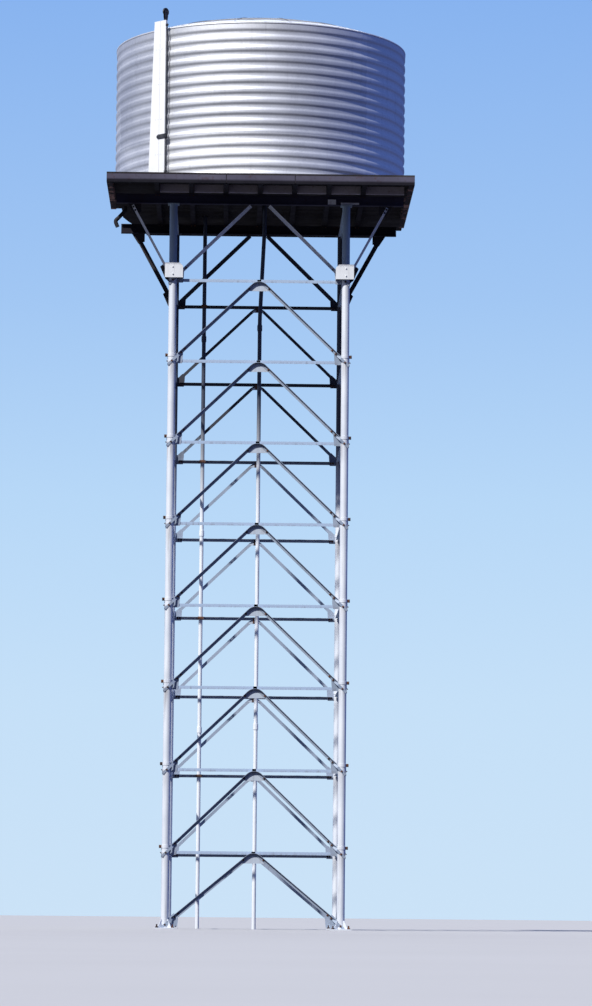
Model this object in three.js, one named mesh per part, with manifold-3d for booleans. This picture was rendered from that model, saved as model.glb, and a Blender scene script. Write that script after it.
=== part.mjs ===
// A round corrugated water tank on a platform, carried by a braced stand on four pipe legs.
// Millimetres, +Z up, origin on the ground at the middle of the stand; the front faces -Y.
import * as THREE from "three";
import { mergeVertices } from "three/addons/utils/BufferGeometryUtils.js";
import Module from "manifold-3d";

const wasm = await Module();
wasm.setup();

// Stand
const LEG_HALF_SPAN = 1275; // from the middle of the stand to each leg's axis, both ways
const LEG_RADIUS = 57;
const LEG_BORE_RADIUS = 48;
const LEG_SIDES = 24;
const BASE_PLATE_SIZE = 300;
const BASE_PLATE_THICKNESS = 20;
const BOTTOM_BAY_HEIGHT = 1105;
const BAY_HEIGHT = 1200; // from one horizontal to the next
const FULL_BAYS = 8; // below the top bay, which is a little lower
const BAR_WIDTH = 45;
const BACK_TOP_BAR_WIDTH = 62; // the back's topmost bars are heavier
const APEX_PLATE_WIDTH = 170;
const APEX_PLATE_HEIGHT = 130;
const APEX_PLATE_THICKNESS = 60; // stands a little proud of the bars on both faces
const TOP_APEX_RISE = 90; // of the topmost bars over the bearers' undersides
const FRONT_KNEE_WIDTH = 45;
const BACK_KNEE_WIDTH = 68;
const KNEE_REACH = 1895; // where the knee brace meets the bearer, from the middle

// Platform
const LEG_TOP = 10645;
const BEARER_DEPTH = 140;
const BEARER_FLANGE = 90;
const BEARER_HALF_LENGTH = 2120;
const JOIST_DEPTH = 120;
const JOIST_FLANGE = 70;
const JOIST_COUNT = 7;
const JOIST_SPACING = 505;
const STEEL_THICKNESS = 10; // webs and flanges
const EDGE_FLANGE = 80;
const LEFT_BEAM_END = 0; // the left edge beam is only there in the front half
const RIGHT_BEAM_END = 1320; // just past the back bearer
const BACK_BEAM_HALF = 1750;
const PLATFORM_HALF = 2240;
const DECK_INSET_X = -2105; // the deck's left edge towards the back
const DECK_INSET_START = 600;
const DECK_CORNER_START = 1350; // the back left corner is cut off from here
const DECK_CORNER_X = -1900;
const DECK_THICKNESS = 28;
const PIPE_CUTOUT = 90; // width of the deck's square holes for pipes

// Tank
const TANK_RADIUS = 2185;
const TANK_WALL_THICKNESS = 25; // the corrugation's depth
const TANK_WALL_HEIGHT = 2240;
const WALL_SEGMENTS = 8;
const FACETS_PER_SEGMENT = 6;
const FLOOR_THICKNESS = 12;
const ROOF_EDGE_HEIGHT = 20;
const ROOF_RISE = 420; // a shallow dome
const ROOF_RINGS = 7;
const ROOF_THICKNESS = 14;
const HATCH_SIZE = 600;
const HATCH_HEIGHT = 90;
const HATCH_DISTANCE = 1300; // from the tank's axis, towards the back

// Level gauge
const GAUGE_TURN = THREE.MathUtils.degToRad(-42.5); // round the tank, from the front to the left
const BOARD_BATTEN = 25; // holds the board off the wall
const BOARD_THICKNESS = 35;
const BOARD_RIGHT = 134;
const BOARD_TOP_WIDTH = 228;
const BOARD_FOOT_WIDTH = 320;
const BOARD_RISE_OVER_RIM = 130;
const BOARD_FOOT_LIFT = 30; // above the deck
const BATTEN_COUNT = 4;
const BATTEN_LENGTH = 152;
const BATTEN_END_INSET = 320; // from the board's foot and the rim
const GUIDE_RADIUS = 8;
const GUIDE_SIDES = 8;
const GUIDE_OFFSET = 23; // from the board's right edge to the guide's axis
const GUIDE_END_INSET = 60; // from the board's ends to the guide's end lugs
const GUIDE_LUG_HEIGHT = 30;
const POINTER_REST_HEIGHT = 636; // above the deck
const POINTER_LENGTH = 175;
const POINTER_HEIGHT = 65;
const POINTER_THICKNESS = 6;
const SLIDER_SIZE = 36;
const MOVING_CLEARANCE = 5;
const SLIDING_CLEARANCE = 1;
const PULLEY_RADIUS = 60;
const PULLEY_WIDTH = 16;
const PULLEY_AXLE_HEIGHT = 125; // above the board's top
const AXLE_RADIUS = 7.5;
const AXLE_CLEARANCE = 0.5;
const CHEEK_THICKNESS = 6;
const CHEEK_WIDTH = 60;
const CHEEK_RISE = 20; // above the axle
const PULLEY_INSET = 20; // from the board's right edge to the middle of the wheel
const BRACKET_FOOT_THICKNESS = 10;

// Pipes
const PIPE_RADIUS = 30;
const PIPE_BORE_RADIUS = 26;
const PIPE_SIDES = 12;
const RISER_STEPS = 24;
const RISER_X = 22;
const RISER_TOP_X = 80; // clear of the middle joist
const RISER_BEND_DROP = 350; // the bend starts this far under the topmost horizontal
const OUTLET_X = -825;
const OUTLET_Y = 1195; // just inside the back bracing
const DRAIN_STEPS = 12;
const DRAIN_Y = 420;
const DRAIN_PATH = [
  [-2040, -0.5],
  [-2040, -60],
  [-2130, -165],
  [-2180, -225],
  [-2150, -315],
]; // x, and height from the deck's underside

const TOUCH_GAP = 0.3; // between pieces that touch along curved or turned faces
const OVERRUN = 1; // how far a joined or cut shape runs past the face that it crosses

// Levels that follow from the sizes above
const levelHeight = (level) => BOTTOM_BAY_HEIGHT + (level - 1) * BAY_HEIGHT;
const TOP_LEVEL = levelHeight(FULL_BAYS);
const JOIST_BOTTOM = LEG_TOP + BEARER_DEPTH;
const DECK_BOTTOM = JOIST_BOTTOM + JOIST_DEPTH;
const DECK_TOP = DECK_BOTTOM + DECK_THICKNESS;
const RIM = DECK_TOP + TANK_WALL_HEIGHT;

const steel = { color: 0x3a2f36, roughness: 0.75, metalness: 0.3 };
const paleSteel = { color: 0xc9ccd0, roughness: 0.55, metalness: 0.4 };
const rustySteel = { color: 0x6b5a60, roughness: 0.85, metalness: 0.2 };
const planks = { color: 0x4a4140, roughness: 0.9, metalness: 0 };
const galvanised = { color: 0xc4c8ce, roughness: 0.4, metalness: 0.7 };
const whitePaint = { color: 0xf2f4f6, roughness: 0.6, metalness: 0 };
const blackPaint = { color: 0x1f2126, roughness: 0.6, metalness: 0.2 };

const group = new THREE.Group();

function addMesh(name, geometry, finish, parent = group) {
  const mesh = new THREE.Mesh(geometry, new THREE.MeshStandardMaterial(finish));
  mesh.name = name;
  parent.add(mesh);
  return mesh;
}

function solidOf(geometry) {
  const bare = geometry.index ? geometry.toNonIndexed() : geometry.clone();
  bare.deleteAttribute("normal");
  bare.deleteAttribute("uv");
  const merged = mergeVertices(bare, 1e-4);
  return new wasm.Manifold(
    new wasm.Mesh({
      numProp: 3,
      vertProperties: new Float32Array(merged.attributes.position.array),
      triVerts: new Uint32Array(merged.index.array),
    }),
  );
}

function geometryOf(solid) {
  const mesh = solid.getMesh();
  const geometry = new THREE.BufferGeometry();
  geometry.setAttribute("position", new THREE.BufferAttribute(mesh.vertProperties, 3));
  geometry.setIndex(new THREE.BufferAttribute(mesh.triVerts, 1));
  geometry.computeVertexNormals();
  return geometry;
}

function joined(geometries) {
  return geometries.map(solidOf).reduce((whole, piece) => whole.add(piece));
}

function box(low, high) {
  const size = high.map((value, i) => value - low[i]);
  const middle = high.map((value, i) => (value + low[i]) / 2);
  return new THREE.BoxGeometry(...size).translate(...middle);
}

function upright(radius, bottom, top, sides, x = 0, y = 0) {
  const geometry = new THREE.CylinderGeometry(radius, radius, top - bottom, sides);
  return geometry.rotateX(Math.PI / 2).translate(x, y, (top + bottom) / 2);
}

function turned(profile, sides) {
  const points = profile.map(([radius, z]) => new THREE.Vector2(radius, z));
  return new THREE.LatheGeometry(points, sides).rotateX(Math.PI / 2);
}

function outline(points) {
  return new THREE.Shape(points.map(([x, y]) => new THREE.Vector2(x, y)));
}

function extruded(shape, length, curveSegments = 12) {
  return new THREE.ExtrudeGeometry(shape, { depth: length, bevelEnabled: false, curveSegments });
}

// A bar in the XZ plane between two [x, z] points, with square ends.
function bar(from, to, width) {
  const run = to[0] - from[0];
  const rise = to[1] - from[1];
  const length = Math.hypot(run, rise);
  const geometry = new THREE.BoxGeometry(length, width, width);
  geometry.rotateY(-Math.atan2(rise, run));
  return geometry.translate((from[0] + to[0]) / 2, 0, (from[1] + to[1]) / 2);
}

// What a bar must keep clear of at the leg: the leg's own round with a touching gap.
function legClearance(side) {
  const radius = LEG_RADIUS + TOUCH_GAP;
  return solidOf(upright(radius, -BAY_HEIGHT, LEG_TOP + BAY_HEIGHT, LEG_SIDES, side * LEG_HALF_SPAN));
}

function overBearerBottom() {
  const reach = 2 * PLATFORM_HALF;
  return solidOf(box([-reach, -reach, LEG_TOP], [reach, reach, LEG_TOP + BAY_HEIGHT]));
}

function leg() {
  const pipe = turned(
    [
      [LEG_BORE_RADIUS, BASE_PLATE_THICKNESS / 2],
      [LEG_RADIUS, BASE_PLATE_THICKNESS / 2],
      [LEG_RADIUS, LEG_TOP],
      [LEG_BORE_RADIUS, LEG_TOP],
      [LEG_BORE_RADIUS, BASE_PLATE_THICKNESS / 2],
    ],
    LEG_SIDES,
  );
  const half = BASE_PLATE_SIZE / 2;
  const plate = box([-half, -half, 0], [half, half, BASE_PLATE_THICKNESS]);
  return geometryOf(joined([pipe, plate]));
}

function apexPlate(z) {
  const halfWidth = APEX_PLATE_WIDTH / 2;
  const halfThickness = APEX_PLATE_THICKNESS / 2;
  return box([-halfWidth, -halfThickness, z - APEX_PLATE_HEIGHT], [halfWidth, halfThickness, z]);
}

// One side of the stand: a horizontal at each level and an inverted V in each bay.
function bracedSide(apexTop, hasTopBar, topBarWidth) {
  const pieces = [];
  const across = (z) => pieces.push(bar([-LEG_HALF_SPAN, z], [LEG_HALF_SPAN, z], BAR_WIDTH));
  const invertedV = (footZ, apexZ, width) => {
    for (const side of [-1, 1]) {
      pieces.push(bar([side * LEG_HALF_SPAN, footZ], [0, apexZ], width));
    }
  };
  const lowestFoot = BASE_PLATE_THICKNESS + BAR_WIDTH;
  for (let level = 1; level <= FULL_BAYS; level += 1) {
    const z = levelHeight(level);
    across(z);
    invertedV(level === 1 ? lowestFoot : levelHeight(level - 1), z, BAR_WIDTH);
    pieces.push(apexPlate(z));
  }
  invertedV(TOP_LEVEL, apexTop, topBarWidth);
  if (hasTopBar) {
    across(apexTop);
    pieces.push(apexPlate(apexTop));
  }
  let side = joined(pieces).subtract(overBearerBottom());
  side = side.subtract(legClearance(-1)).subtract(legClearance(1));
  return geometryOf(side);
}

function kneeBrace(width) {
  const foot = [LEG_HALF_SPAN, TOP_LEVEL];
  const head = [KNEE_REACH, LEG_TOP];
  const slope = (head[1] - foot[1]) / (head[0] - foot[0]);
  const past = [head[0] + width, head[1] + width * slope];
  const brace = solidOf(bar(foot, past, width));
  return geometryOf(brace.subtract(legClearance(1)).subtract(overBearerBottom()));
}

function beamSection(depth, flange) {
  const half = flange / 2;
  const web = STEEL_THICKNESS / 2;
  const inner = depth - STEEL_THICKNESS;
  return outline([
    [-half, 0],
    [half, 0],
    [half, STEEL_THICKNESS],
    [web, STEEL_THICKNESS],
    [web, inner],
    [half, inner],
    [half, depth],
    [-half, depth],
    [-half, inner],
    [-web, inner],
    [-web, STEEL_THICKNESS],
    [-half, STEEL_THICKNESS],
  ]);
}

// A channel with its web on the outside, at x = 0, and its flanges towards +x.
function channelSection(depth, flange) {
  const inner = depth - STEEL_THICKNESS;
  return outline([
    [0, 0],
    [flange, 0],
    [flange, STEEL_THICKNESS],
    [STEEL_THICKNESS, STEEL_THICKNESS],
    [STEEL_THICKNESS, inner],
    [flange, inner],
    [flange, depth],
    [0, depth],
  ]);
}

// A section drawn with its own y upwards, laid along the Y axis from one y to another.
function beamAlongY(section, from, to) {
  return extruded(section, to - from).rotateX(Math.PI / 2).translate(0, to, 0);
}

function bearer() {
  const section = beamSection(BEARER_DEPTH, BEARER_FLANGE);
  return beamAlongY(section, -BEARER_HALF_LENGTH, BEARER_HALF_LENGTH).rotateZ(Math.PI / 2);
}

function deck() {
  const half = PLATFORM_HALF;
  const shape = outline([
    [-half, -half],
    [half, -half],
    [half, half],
    [DECK_CORNER_X, half],
    [DECK_INSET_X, DECK_CORNER_START],
    [DECK_INSET_X, DECK_INSET_START],
    [-half, DECK_INSET_START],
  ]);
  const reach = PIPE_CUTOUT / 2;
  for (const [x, y] of [[RISER_TOP_X, 0], [OUTLET_X, OUTLET_Y]]) {
    shape.holes.push(
      outline([
        [x - reach, y - reach],
        [x - reach, y + reach],
        [x + reach, y + reach],
        [x + reach, y - reach],
      ]),
    );
  }
  return extruded(shape, DECK_THICKNESS);
}

function wallSegment() {
  const inner = TANK_RADIUS - TANK_WALL_THICKNESS;
  const half = Math.PI / WALL_SEGMENTS - TOUCH_GAP / 2 / inner;
  const shape = new THREE.Shape();
  shape.absarc(0, 0, TANK_RADIUS, -half, half, false);
  shape.absarc(0, 0, inner, half, -half, true);
  return extruded(shape, TANK_WALL_HEIGHT, FACETS_PER_SEGMENT);
}

function roofHeightAt(radius) {
  return ROOF_EDGE_HEIGHT + ROOF_RISE * (1 - (radius / TANK_RADIUS) ** 2);
}

// The dome's line from an outer radius to the axis, moved up or down by the lift.
function domeLine(outerRadius, lift) {
  const points = [];
  for (let i = 0; i <= ROOF_RINGS; i += 1) {
    const radius = outerRadius * (1 - i / ROOF_RINGS);
    points.push([radius, roofHeightAt(radius) + lift]);
  }
  return points;
}

function roof() {
  const seat = TANK_RADIUS - TANK_WALL_THICKNESS;
  return turned(
    [
      ...domeLine(seat, -ROOF_THICKNESS).reverse(),
      [seat, 0],
      [TANK_RADIUS, 0],
      ...domeLine(TANK_RADIUS, 0),
    ],
    WALL_SEGMENTS * FACETS_PER_SEGMENT,
  );
}

// A square lid with a curb, its underside cut to the roof's curve.
function hatch() {
  const half = HATCH_SIZE / 2;
  const top = roofHeightAt(HATCH_DISTANCE - half) + HATCH_HEIGHT;
  const block = solidOf(box([-half, HATCH_DISTANCE - half, 0], [half, HATCH_DISTANCE + half, top]));
  const underRoof = solidOf(
    turned(
      [[0, -HATCH_HEIGHT], [TANK_RADIUS, -HATCH_HEIGHT], ...domeLine(TANK_RADIUS, TOUCH_GAP)],
      WALL_SEGMENTS * FACETS_PER_SEGMENT,
    ),
  );
  return geometryOf(block.subtract(underRoof));
}

// Gauge pieces are drawn with the wall's outside at y = 0 and the viewer towards -y.
const BOARD_FRONT = -(BOARD_BATTEN + BOARD_THICKNESS);
const BOARD_TOP = RIM + BOARD_RISE_OVER_RIM;
const BOARD_FOOT = DECK_TOP + BOARD_FOOT_LIFT;
const GUIDE_X = BOARD_RIGHT + GUIDE_OFFSET;
const GUIDE_Y = BOARD_FRONT + SLIDER_SIZE / 2 - MOVING_CLEARANCE - POINTER_THICKNESS;

function gaugeBoard() {
  const face = outline([
    [BOARD_RIGHT - BOARD_FOOT_WIDTH, BOARD_FOOT],
    [BOARD_RIGHT, BOARD_FOOT],
    [BOARD_RIGHT, BOARD_TOP],
    [BOARD_RIGHT - BOARD_TOP_WIDTH, BOARD_TOP],
  ]);
  const plate = extruded(face, BOARD_THICKNESS).rotateX(Math.PI / 2).translate(0, -BOARD_BATTEN, 0);
  const pieces = [plate];
  const half = BATTEN_LENGTH / 2;
  const lowest = BOARD_FOOT + BATTEN_END_INSET;
  const step = (RIM - BATTEN_END_INSET - lowest) / (BATTEN_COUNT - 1);
  for (let i = 0; i < BATTEN_COUNT; i += 1) {
    const z = lowest + i * step;
    pieces.push(box([-half, -BOARD_BATTEN - OVERRUN, z], [half, -TOUCH_GAP, z + BAR_WIDTH]));
  }
  return geometryOf(joined(pieces));
}

function gaugeGuide() {
  const low = BOARD_FOOT + GUIDE_END_INSET;
  const high = BOARD_TOP - GUIDE_END_INSET;
  const rod = upright(GUIDE_RADIUS, low, high, GUIDE_SIDES, GUIDE_X, GUIDE_Y);
  const lug = (z) =>
    box(
      [BOARD_RIGHT + TOUCH_GAP, GUIDE_Y - GUIDE_RADIUS, z],
      [GUIDE_X + GUIDE_RADIUS, GUIDE_Y + GUIDE_RADIUS, z + GUIDE_LUG_HEIGHT],
    );
  return geometryOf(joined([rod, lug(low), lug(high - GUIDE_LUG_HEIGHT)]));
}

function gaugePointer() {
  const middle = DECK_TOP + POINTER_REST_HEIGHT;
  const low = middle - POINTER_HEIGHT / 2;
  const high = middle + POINTER_HEIGHT / 2;
  const half = SLIDER_SIZE / 2;
  const slider = box([GUIDE_X - half, GUIDE_Y - half, low], [GUIDE_X + half, GUIDE_Y + half, high]);
  const bladeFront = GUIDE_Y - half;
  const blade = box(
    [GUIDE_X - POINTER_LENGTH, bladeFront, low],
    [GUIDE_X, bladeFront + POINTER_THICKNESS, high],
  );
  const boreRadius = GUIDE_RADIUS + SLIDING_CLEARANCE;
  const bore = upright(boreRadius, low - OVERRUN, high + OVERRUN, GUIDE_SIDES, GUIDE_X, GUIDE_Y);
  return geometryOf(joined([slider, blade]).subtract(solidOf(bore)));
}

const PULLEY_Y = -BOARD_BATTEN - BOARD_THICKNESS / 2;
const PULLEY_Z = BOARD_TOP + PULLEY_AXLE_HEIGHT;
const PULLEY_X = BOARD_RIGHT - PULLEY_INSET;

function alongX(geometry) {
  return geometry.rotateY(Math.PI / 2).translate(PULLEY_X, PULLEY_Y, PULLEY_Z);
}

function pulleyBracket() {
  const inner = PULLEY_WIDTH / 2 + MOVING_CLEARANCE;
  const outer = inner + CHEEK_THICKNESS;
  const low = PULLEY_Y - CHEEK_WIDTH / 2;
  const high = PULLEY_Y + CHEEK_WIDTH / 2;
  const foot = box(
    [PULLEY_X - outer, low, BOARD_TOP],
    [PULLEY_X + outer, high, BOARD_TOP + BRACKET_FOOT_THICKNESS],
  );
  const cheek = (side) =>
    box(
      [PULLEY_X + Math.min(side * inner, side * outer), low, BOARD_TOP],
      [PULLEY_X + Math.max(side * inner, side * outer), high, PULLEY_Z + CHEEK_RISE],
    );
  const axle = alongX(upright(AXLE_RADIUS, -outer, outer, PIPE_SIDES));
  return geometryOf(joined([foot, cheek(-1), cheek(1), axle]));
}

function pulleyWheel() {
  const half = PULLEY_WIDTH / 2;
  const bore = AXLE_RADIUS + AXLE_CLEARANCE;
  const groove = PULLEY_RADIUS - half;
  return alongX(
    turned(
      [
        [bore, -half],
        [PULLEY_RADIUS, -half],
        [groove, 0],
        [PULLEY_RADIUS, half],
        [bore, half],
        [bore, -half],
      ],
      LEG_SIDES,
    ),
  );
}

function pipeAlong(path, steps) {
  const section = new THREE.Shape().absarc(0, 0, PIPE_RADIUS, 0, 2 * Math.PI, false);
  section.holes.push(new THREE.Path().absarc(0, 0, PIPE_BORE_RADIUS, 0, 2 * Math.PI, true));
  const options = { steps, extrudePath: path, curveSegments: PIPE_SIDES / 2 };
  return new THREE.ExtrudeGeometry(section, options);
}

function straightPath(points) {
  const path = new THREE.CurvePath();
  const corners = points.map((point) => new THREE.Vector3(...point));
  for (let i = 1; i < corners.length; i += 1) {
    path.add(new THREE.LineCurve3(corners[i - 1], corners[i]));
  }
  return path;
}

const corners = [
  ["front_left", -1, -1],
  ["front_right", 1, -1],
  ["back_left", -1, 1],
  ["back_right", 1, 1],
];

function addStand() {
  for (const [place, sideX, sideY] of corners) {
    const mesh = addMesh(`leg_${place}`, leg(), paleSteel);
    mesh.position.set(sideX * LEG_HALF_SPAN, sideY * LEG_HALF_SPAN, 0);
    const width = sideY < 0 ? FRONT_KNEE_WIDTH : BACK_KNEE_WIDTH;
    const knee = addMesh(`knee_brace_${place}`, kneeBrace(width), steel);
    knee.position.y = sideY * LEG_HALF_SPAN;
    if (sideX < 0) knee.rotation.z = Math.PI;
  }
  const bearerApex = LEG_TOP + TOP_APEX_RISE;
  const sideApex = LEG_TOP - BAR_WIDTH;
  const sides = [
    ["front", 0, bearerApex, false, BAR_WIDTH],
    ["right", 1, sideApex, true, BAR_WIDTH],
    ["back", 2, bearerApex, false, BACK_TOP_BAR_WIDTH],
    ["left", 3, sideApex, true, BAR_WIDTH],
  ];
  for (const [name, quarterTurns, apexTop, hasTopBar, topBarWidth] of sides) {
    const turn = new THREE.Group();
    turn.rotation.z = (quarterTurns * Math.PI) / 2;
    group.add(turn);
    const side = bracedSide(apexTop, hasTopBar, topBarWidth);
    addMesh(`${name}_bracing`, side, paleSteel, turn).position.y = -LEG_HALF_SPAN;
  }
}

function addPlatform() {
  for (const [name, side] of [["front", -1], ["back", 1]]) {
    const mesh = addMesh(`${name}_bearer`, bearer(), rustySteel);
    mesh.position.set(0, side * LEG_HALF_SPAN, LEG_TOP);
  }
  const inner = PLATFORM_HALF - EDGE_FLANGE - TOUCH_GAP;
  const joist = beamAlongY(beamSection(JOIST_DEPTH, JOIST_FLANGE), -inner, inner);
  for (let i = 0; i < JOIST_COUNT; i += 1) {
    const mesh = addMesh(`joist_${i + 1}`, joist.clone(), rustySteel);
    mesh.position.set((i - (JOIST_COUNT - 1) / 2) * JOIST_SPACING, 0, JOIST_BOTTOM);
  }
  // Each edge is drawn as the left one, then turned; its ends are given along that drawing.
  const edges = [
    ["left", 0, -inner, LEFT_BEAM_END],
    ["front", 1, -PLATFORM_HALF, PLATFORM_HALF],
    ["right", 2, -RIGHT_BEAM_END, inner],
    ["back", 3, -BACK_BEAM_HALF, BACK_BEAM_HALF],
  ];
  for (const [name, quarterTurns, from, to] of edges) {
    const turn = new THREE.Group();
    turn.rotation.z = (quarterTurns * Math.PI) / 2;
    group.add(turn);
    const channel = beamAlongY(channelSection(JOIST_DEPTH, EDGE_FLANGE), from, to);
    const mesh = addMesh(`${name}_edge_beam`, channel, rustySteel, turn);
    mesh.position.set(-PLATFORM_HALF, 0, JOIST_BOTTOM);
  }
  addMesh("platform_deck", deck(), planks).position.z = DECK_BOTTOM;
}

function addTank() {
  for (let i = 0; i < WALL_SEGMENTS; i += 1) {
    const mesh = addMesh(`tank_wall_${i + 1}`, wallSegment(), galvanised);
    mesh.rotation.z = (i * 2 * Math.PI) / WALL_SEGMENTS;
    mesh.position.z = DECK_TOP;
  }
  const facets = WALL_SEGMENTS * FACETS_PER_SEGMENT;
  const floorRadius = (TANK_RADIUS - TANK_WALL_THICKNESS) * Math.cos(Math.PI / facets) - TOUCH_GAP;
  const floorDisc = upright(floorRadius, 0, FLOOR_THICKNESS, facets);
  addMesh("tank_floor", floorDisc, galvanised).position.z = DECK_TOP;
  addMesh("tank_roof", roof(), galvanised).position.z = RIM;
  addMesh("roof_hatch", hatch(), galvanised).position.z = RIM;
}

function addGauge() {
  const turn = new THREE.Group();
  turn.rotation.z = GAUGE_TURN;
  group.add(turn);
  const wallFace = new THREE.Group();
  wallFace.position.y = -TANK_RADIUS;
  turn.add(wallFace);
  addMesh("gauge_board", gaugeBoard(), whitePaint, wallFace);
  addMesh("gauge_guide", gaugeGuide(), blackPaint, wallFace);
  addMesh("gauge_pointer", gaugePointer(), blackPaint, wallFace);
  addMesh("pulley_bracket", pulleyBracket(), blackPaint, wallFace);
  addMesh("pulley_wheel", pulleyWheel(), blackPaint, wallFace);
}

function addPipes() {
  const bendLow = TOP_LEVEL - RISER_BEND_DROP;
  const bendHigh = LEG_TOP - BEARER_DEPTH;
  const riser = straightPath([
    [RISER_X, 0, 0],
    [RISER_X, 0, bendLow],
    [RISER_TOP_X, 0, bendHigh],
    [RISER_TOP_X, 0, DECK_TOP],
  ]);
  addMesh("riser_pipe", pipeAlong(riser, RISER_STEPS), paleSteel);
  const outlet = straightPath([
    [OUTLET_X, OUTLET_Y, 0],
    [OUTLET_X, OUTLET_Y, DECK_TOP],
  ]);
  addMesh("outlet_pipe", pipeAlong(outlet, 1), paleSteel);
  const hook = new THREE.CatmullRomCurve3(
    DRAIN_PATH.map(([x, height]) => new THREE.Vector3(x, DRAIN_Y, DECK_BOTTOM + height)),
  );
  addMesh("drain_elbow", pipeAlong(hook, DRAIN_STEPS), rustySteel);
}

addStand();
addPlatform();
addTank();
addGauge();
addPipes();

export default group;
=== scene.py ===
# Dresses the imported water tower: detailed pieces, materials, floor, lights and camera.
# Metres, +Z up, origin on the ground at the middle of the stand; the front faces -Y.
import random
from math import atan, copysign, cos, pi, radians, sin, tanh

import bmesh
import bpy
from mathutils import Matrix, Vector


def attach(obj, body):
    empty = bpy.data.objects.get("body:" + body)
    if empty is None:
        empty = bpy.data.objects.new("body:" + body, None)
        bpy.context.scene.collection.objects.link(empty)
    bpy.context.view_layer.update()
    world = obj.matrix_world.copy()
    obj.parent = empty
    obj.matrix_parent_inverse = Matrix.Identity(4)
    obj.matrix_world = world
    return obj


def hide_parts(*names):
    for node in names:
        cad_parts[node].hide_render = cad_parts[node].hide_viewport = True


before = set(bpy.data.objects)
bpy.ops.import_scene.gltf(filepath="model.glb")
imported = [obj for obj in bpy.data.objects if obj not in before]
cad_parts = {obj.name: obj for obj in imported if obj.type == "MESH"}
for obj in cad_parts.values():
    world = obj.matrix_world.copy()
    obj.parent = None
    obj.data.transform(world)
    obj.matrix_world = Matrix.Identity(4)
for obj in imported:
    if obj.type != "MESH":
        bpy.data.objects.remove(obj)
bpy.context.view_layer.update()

SEED = 7

# Fasteners and laps
BOLT_RADIUS = 0.011
BOLT_HEIGHT = 0.009
BOLT_END = 0.008
SMALL_BOLT = (0.009, 0.007)  # radius and height
WASHER = 0.002
WASHER_SHARE = 1.35  # of the head's radius
DOME_PROFILE = ((1.0, 0.0), (0.8, 0.35), (0.4, 0.55))  # shares of the radius: out and up
OVERLAP = 0.002  # how far a piece runs into what carries it

# Stand
LEG_HALF_SPAN = 1.275
LEG_RADIUS = 0.057
LEG_SIDES = 40
LEG_TOP = 10.645
BASE_PLATE_HALF = 0.15
BASE_PLATE_THICKNESS = 0.02
CAP_PLATE_HALF = 0.085
CAP_PLATE_THICKNESS = 0.012
WELD = (0.008, 0.009)  # out from the leg, and up
STIFFENER = [(0.0, 0.0), (0.08, 0.0), (0.02, 0.12), (0.0, 0.12)]
STIFFENER_HALF = 0.004
ANCHOR_INSET = 0.035
ANCHOR_RADIUS = 0.018
ANCHOR_HEAD = 0.016
ANCHOR_ROD = 0.03
BAY_HEIGHT = 1.2
FIRST_LEVEL = 1.105
LEVELS = [FIRST_LEVEL + BAY_HEIGHT * i for i in range(8)]
LOWEST_FOOT = 0.065
TOP_APEX_RISE = 0.09
SIDE_APEX_DROP = 0.045
BAR_WIDTH = 0.045
BAR_THICKNESS = 0.005
BAR_END = 0.1
RAIL_GAP = 0.025
HIDDEN_HEAD_DROP = 0.02  # of the bars that end under a bearer
BACK_TOP_BAR_WIDTH = 0.062
GUSSET_THICKNESS = 0.006
LEG_GUSSET = [(0.05, -0.035), (0.15, -0.035), (0.16, 0.045), (0.165, 0.13), (0.13, 0.165), (0.05, 0.09)]
GUSSET_BOLTS = (0.1, 0.135)
CLAMP_HEIGHT = 0.045
CLAMP_THICKNESS = 0.005
CLAMP_RISE = 0.062
LUG_GAP = 0.009
LUG_HALF = 0.004
LUG_REACH = 0.042
LUG_BOLT = (0.028, 0.01)  # out along the lug, and height
APEX_RISE = 0.02
APEX_BOLT_SHARE = 0.8
BEND_RADIUS = 0.14
BEND_STEPS = 10
FRONT_APEX_PLATE = (0.18, -0.15)  # half width and foot, from the level
APEX_PLATE = (0.09, -0.075)
APEX_TAB = ((-0.028, -0.07), (0.028, 0.021))
STRAP_WIDTH = 0.036
STRAP_THICKNESS = 0.006
STRAP_REACH = (0.21, 0.11, 0.062, -0.056)  # from the leg's axis: ends and bends
STRAP_BOLTS = (0.19, 0.135, 0.0)  # the last one is on the leg
FRONT_PLATE = (-0.116, 0.15, 0.025, 0.245)  # left, right, bottom, top from the top level's joint
FRONT_PLATE_CUT = 0.05
FRONT_PLATE_OUT = LEG_RADIUS + 0.06
FRONT_PLATE_THICKNESS = 0.007
FRONT_PLATE_BOLTS = (0.05, 0.06)  # from the bottom and from the top
FRONT_PLATE_ROD = 0.012
FRONT_KNEE_WIDTH = 0.034
BACK_KNEE_WIDTH = 0.068
KNEE_REACH = 1.895
KNEE_TRIMS = (0.09, 0.03)
KNEE_FOOT_PLATE = [(0.055, -0.02), (0.11, 0.02), (0.19, 0.2), (0.12, 0.26), (0.055, 0.16)]
KNEE_HEAD_PLATE = [(-0.14, -0.13), (-0.04, -0.16), (0.06, -0.005), (-0.14, -0.005)]
KNEE_FOOT_BOLTS = (0.075, 0.11)
KNEE_HEAD_BOLTS = (0.05, 0.1)

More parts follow.
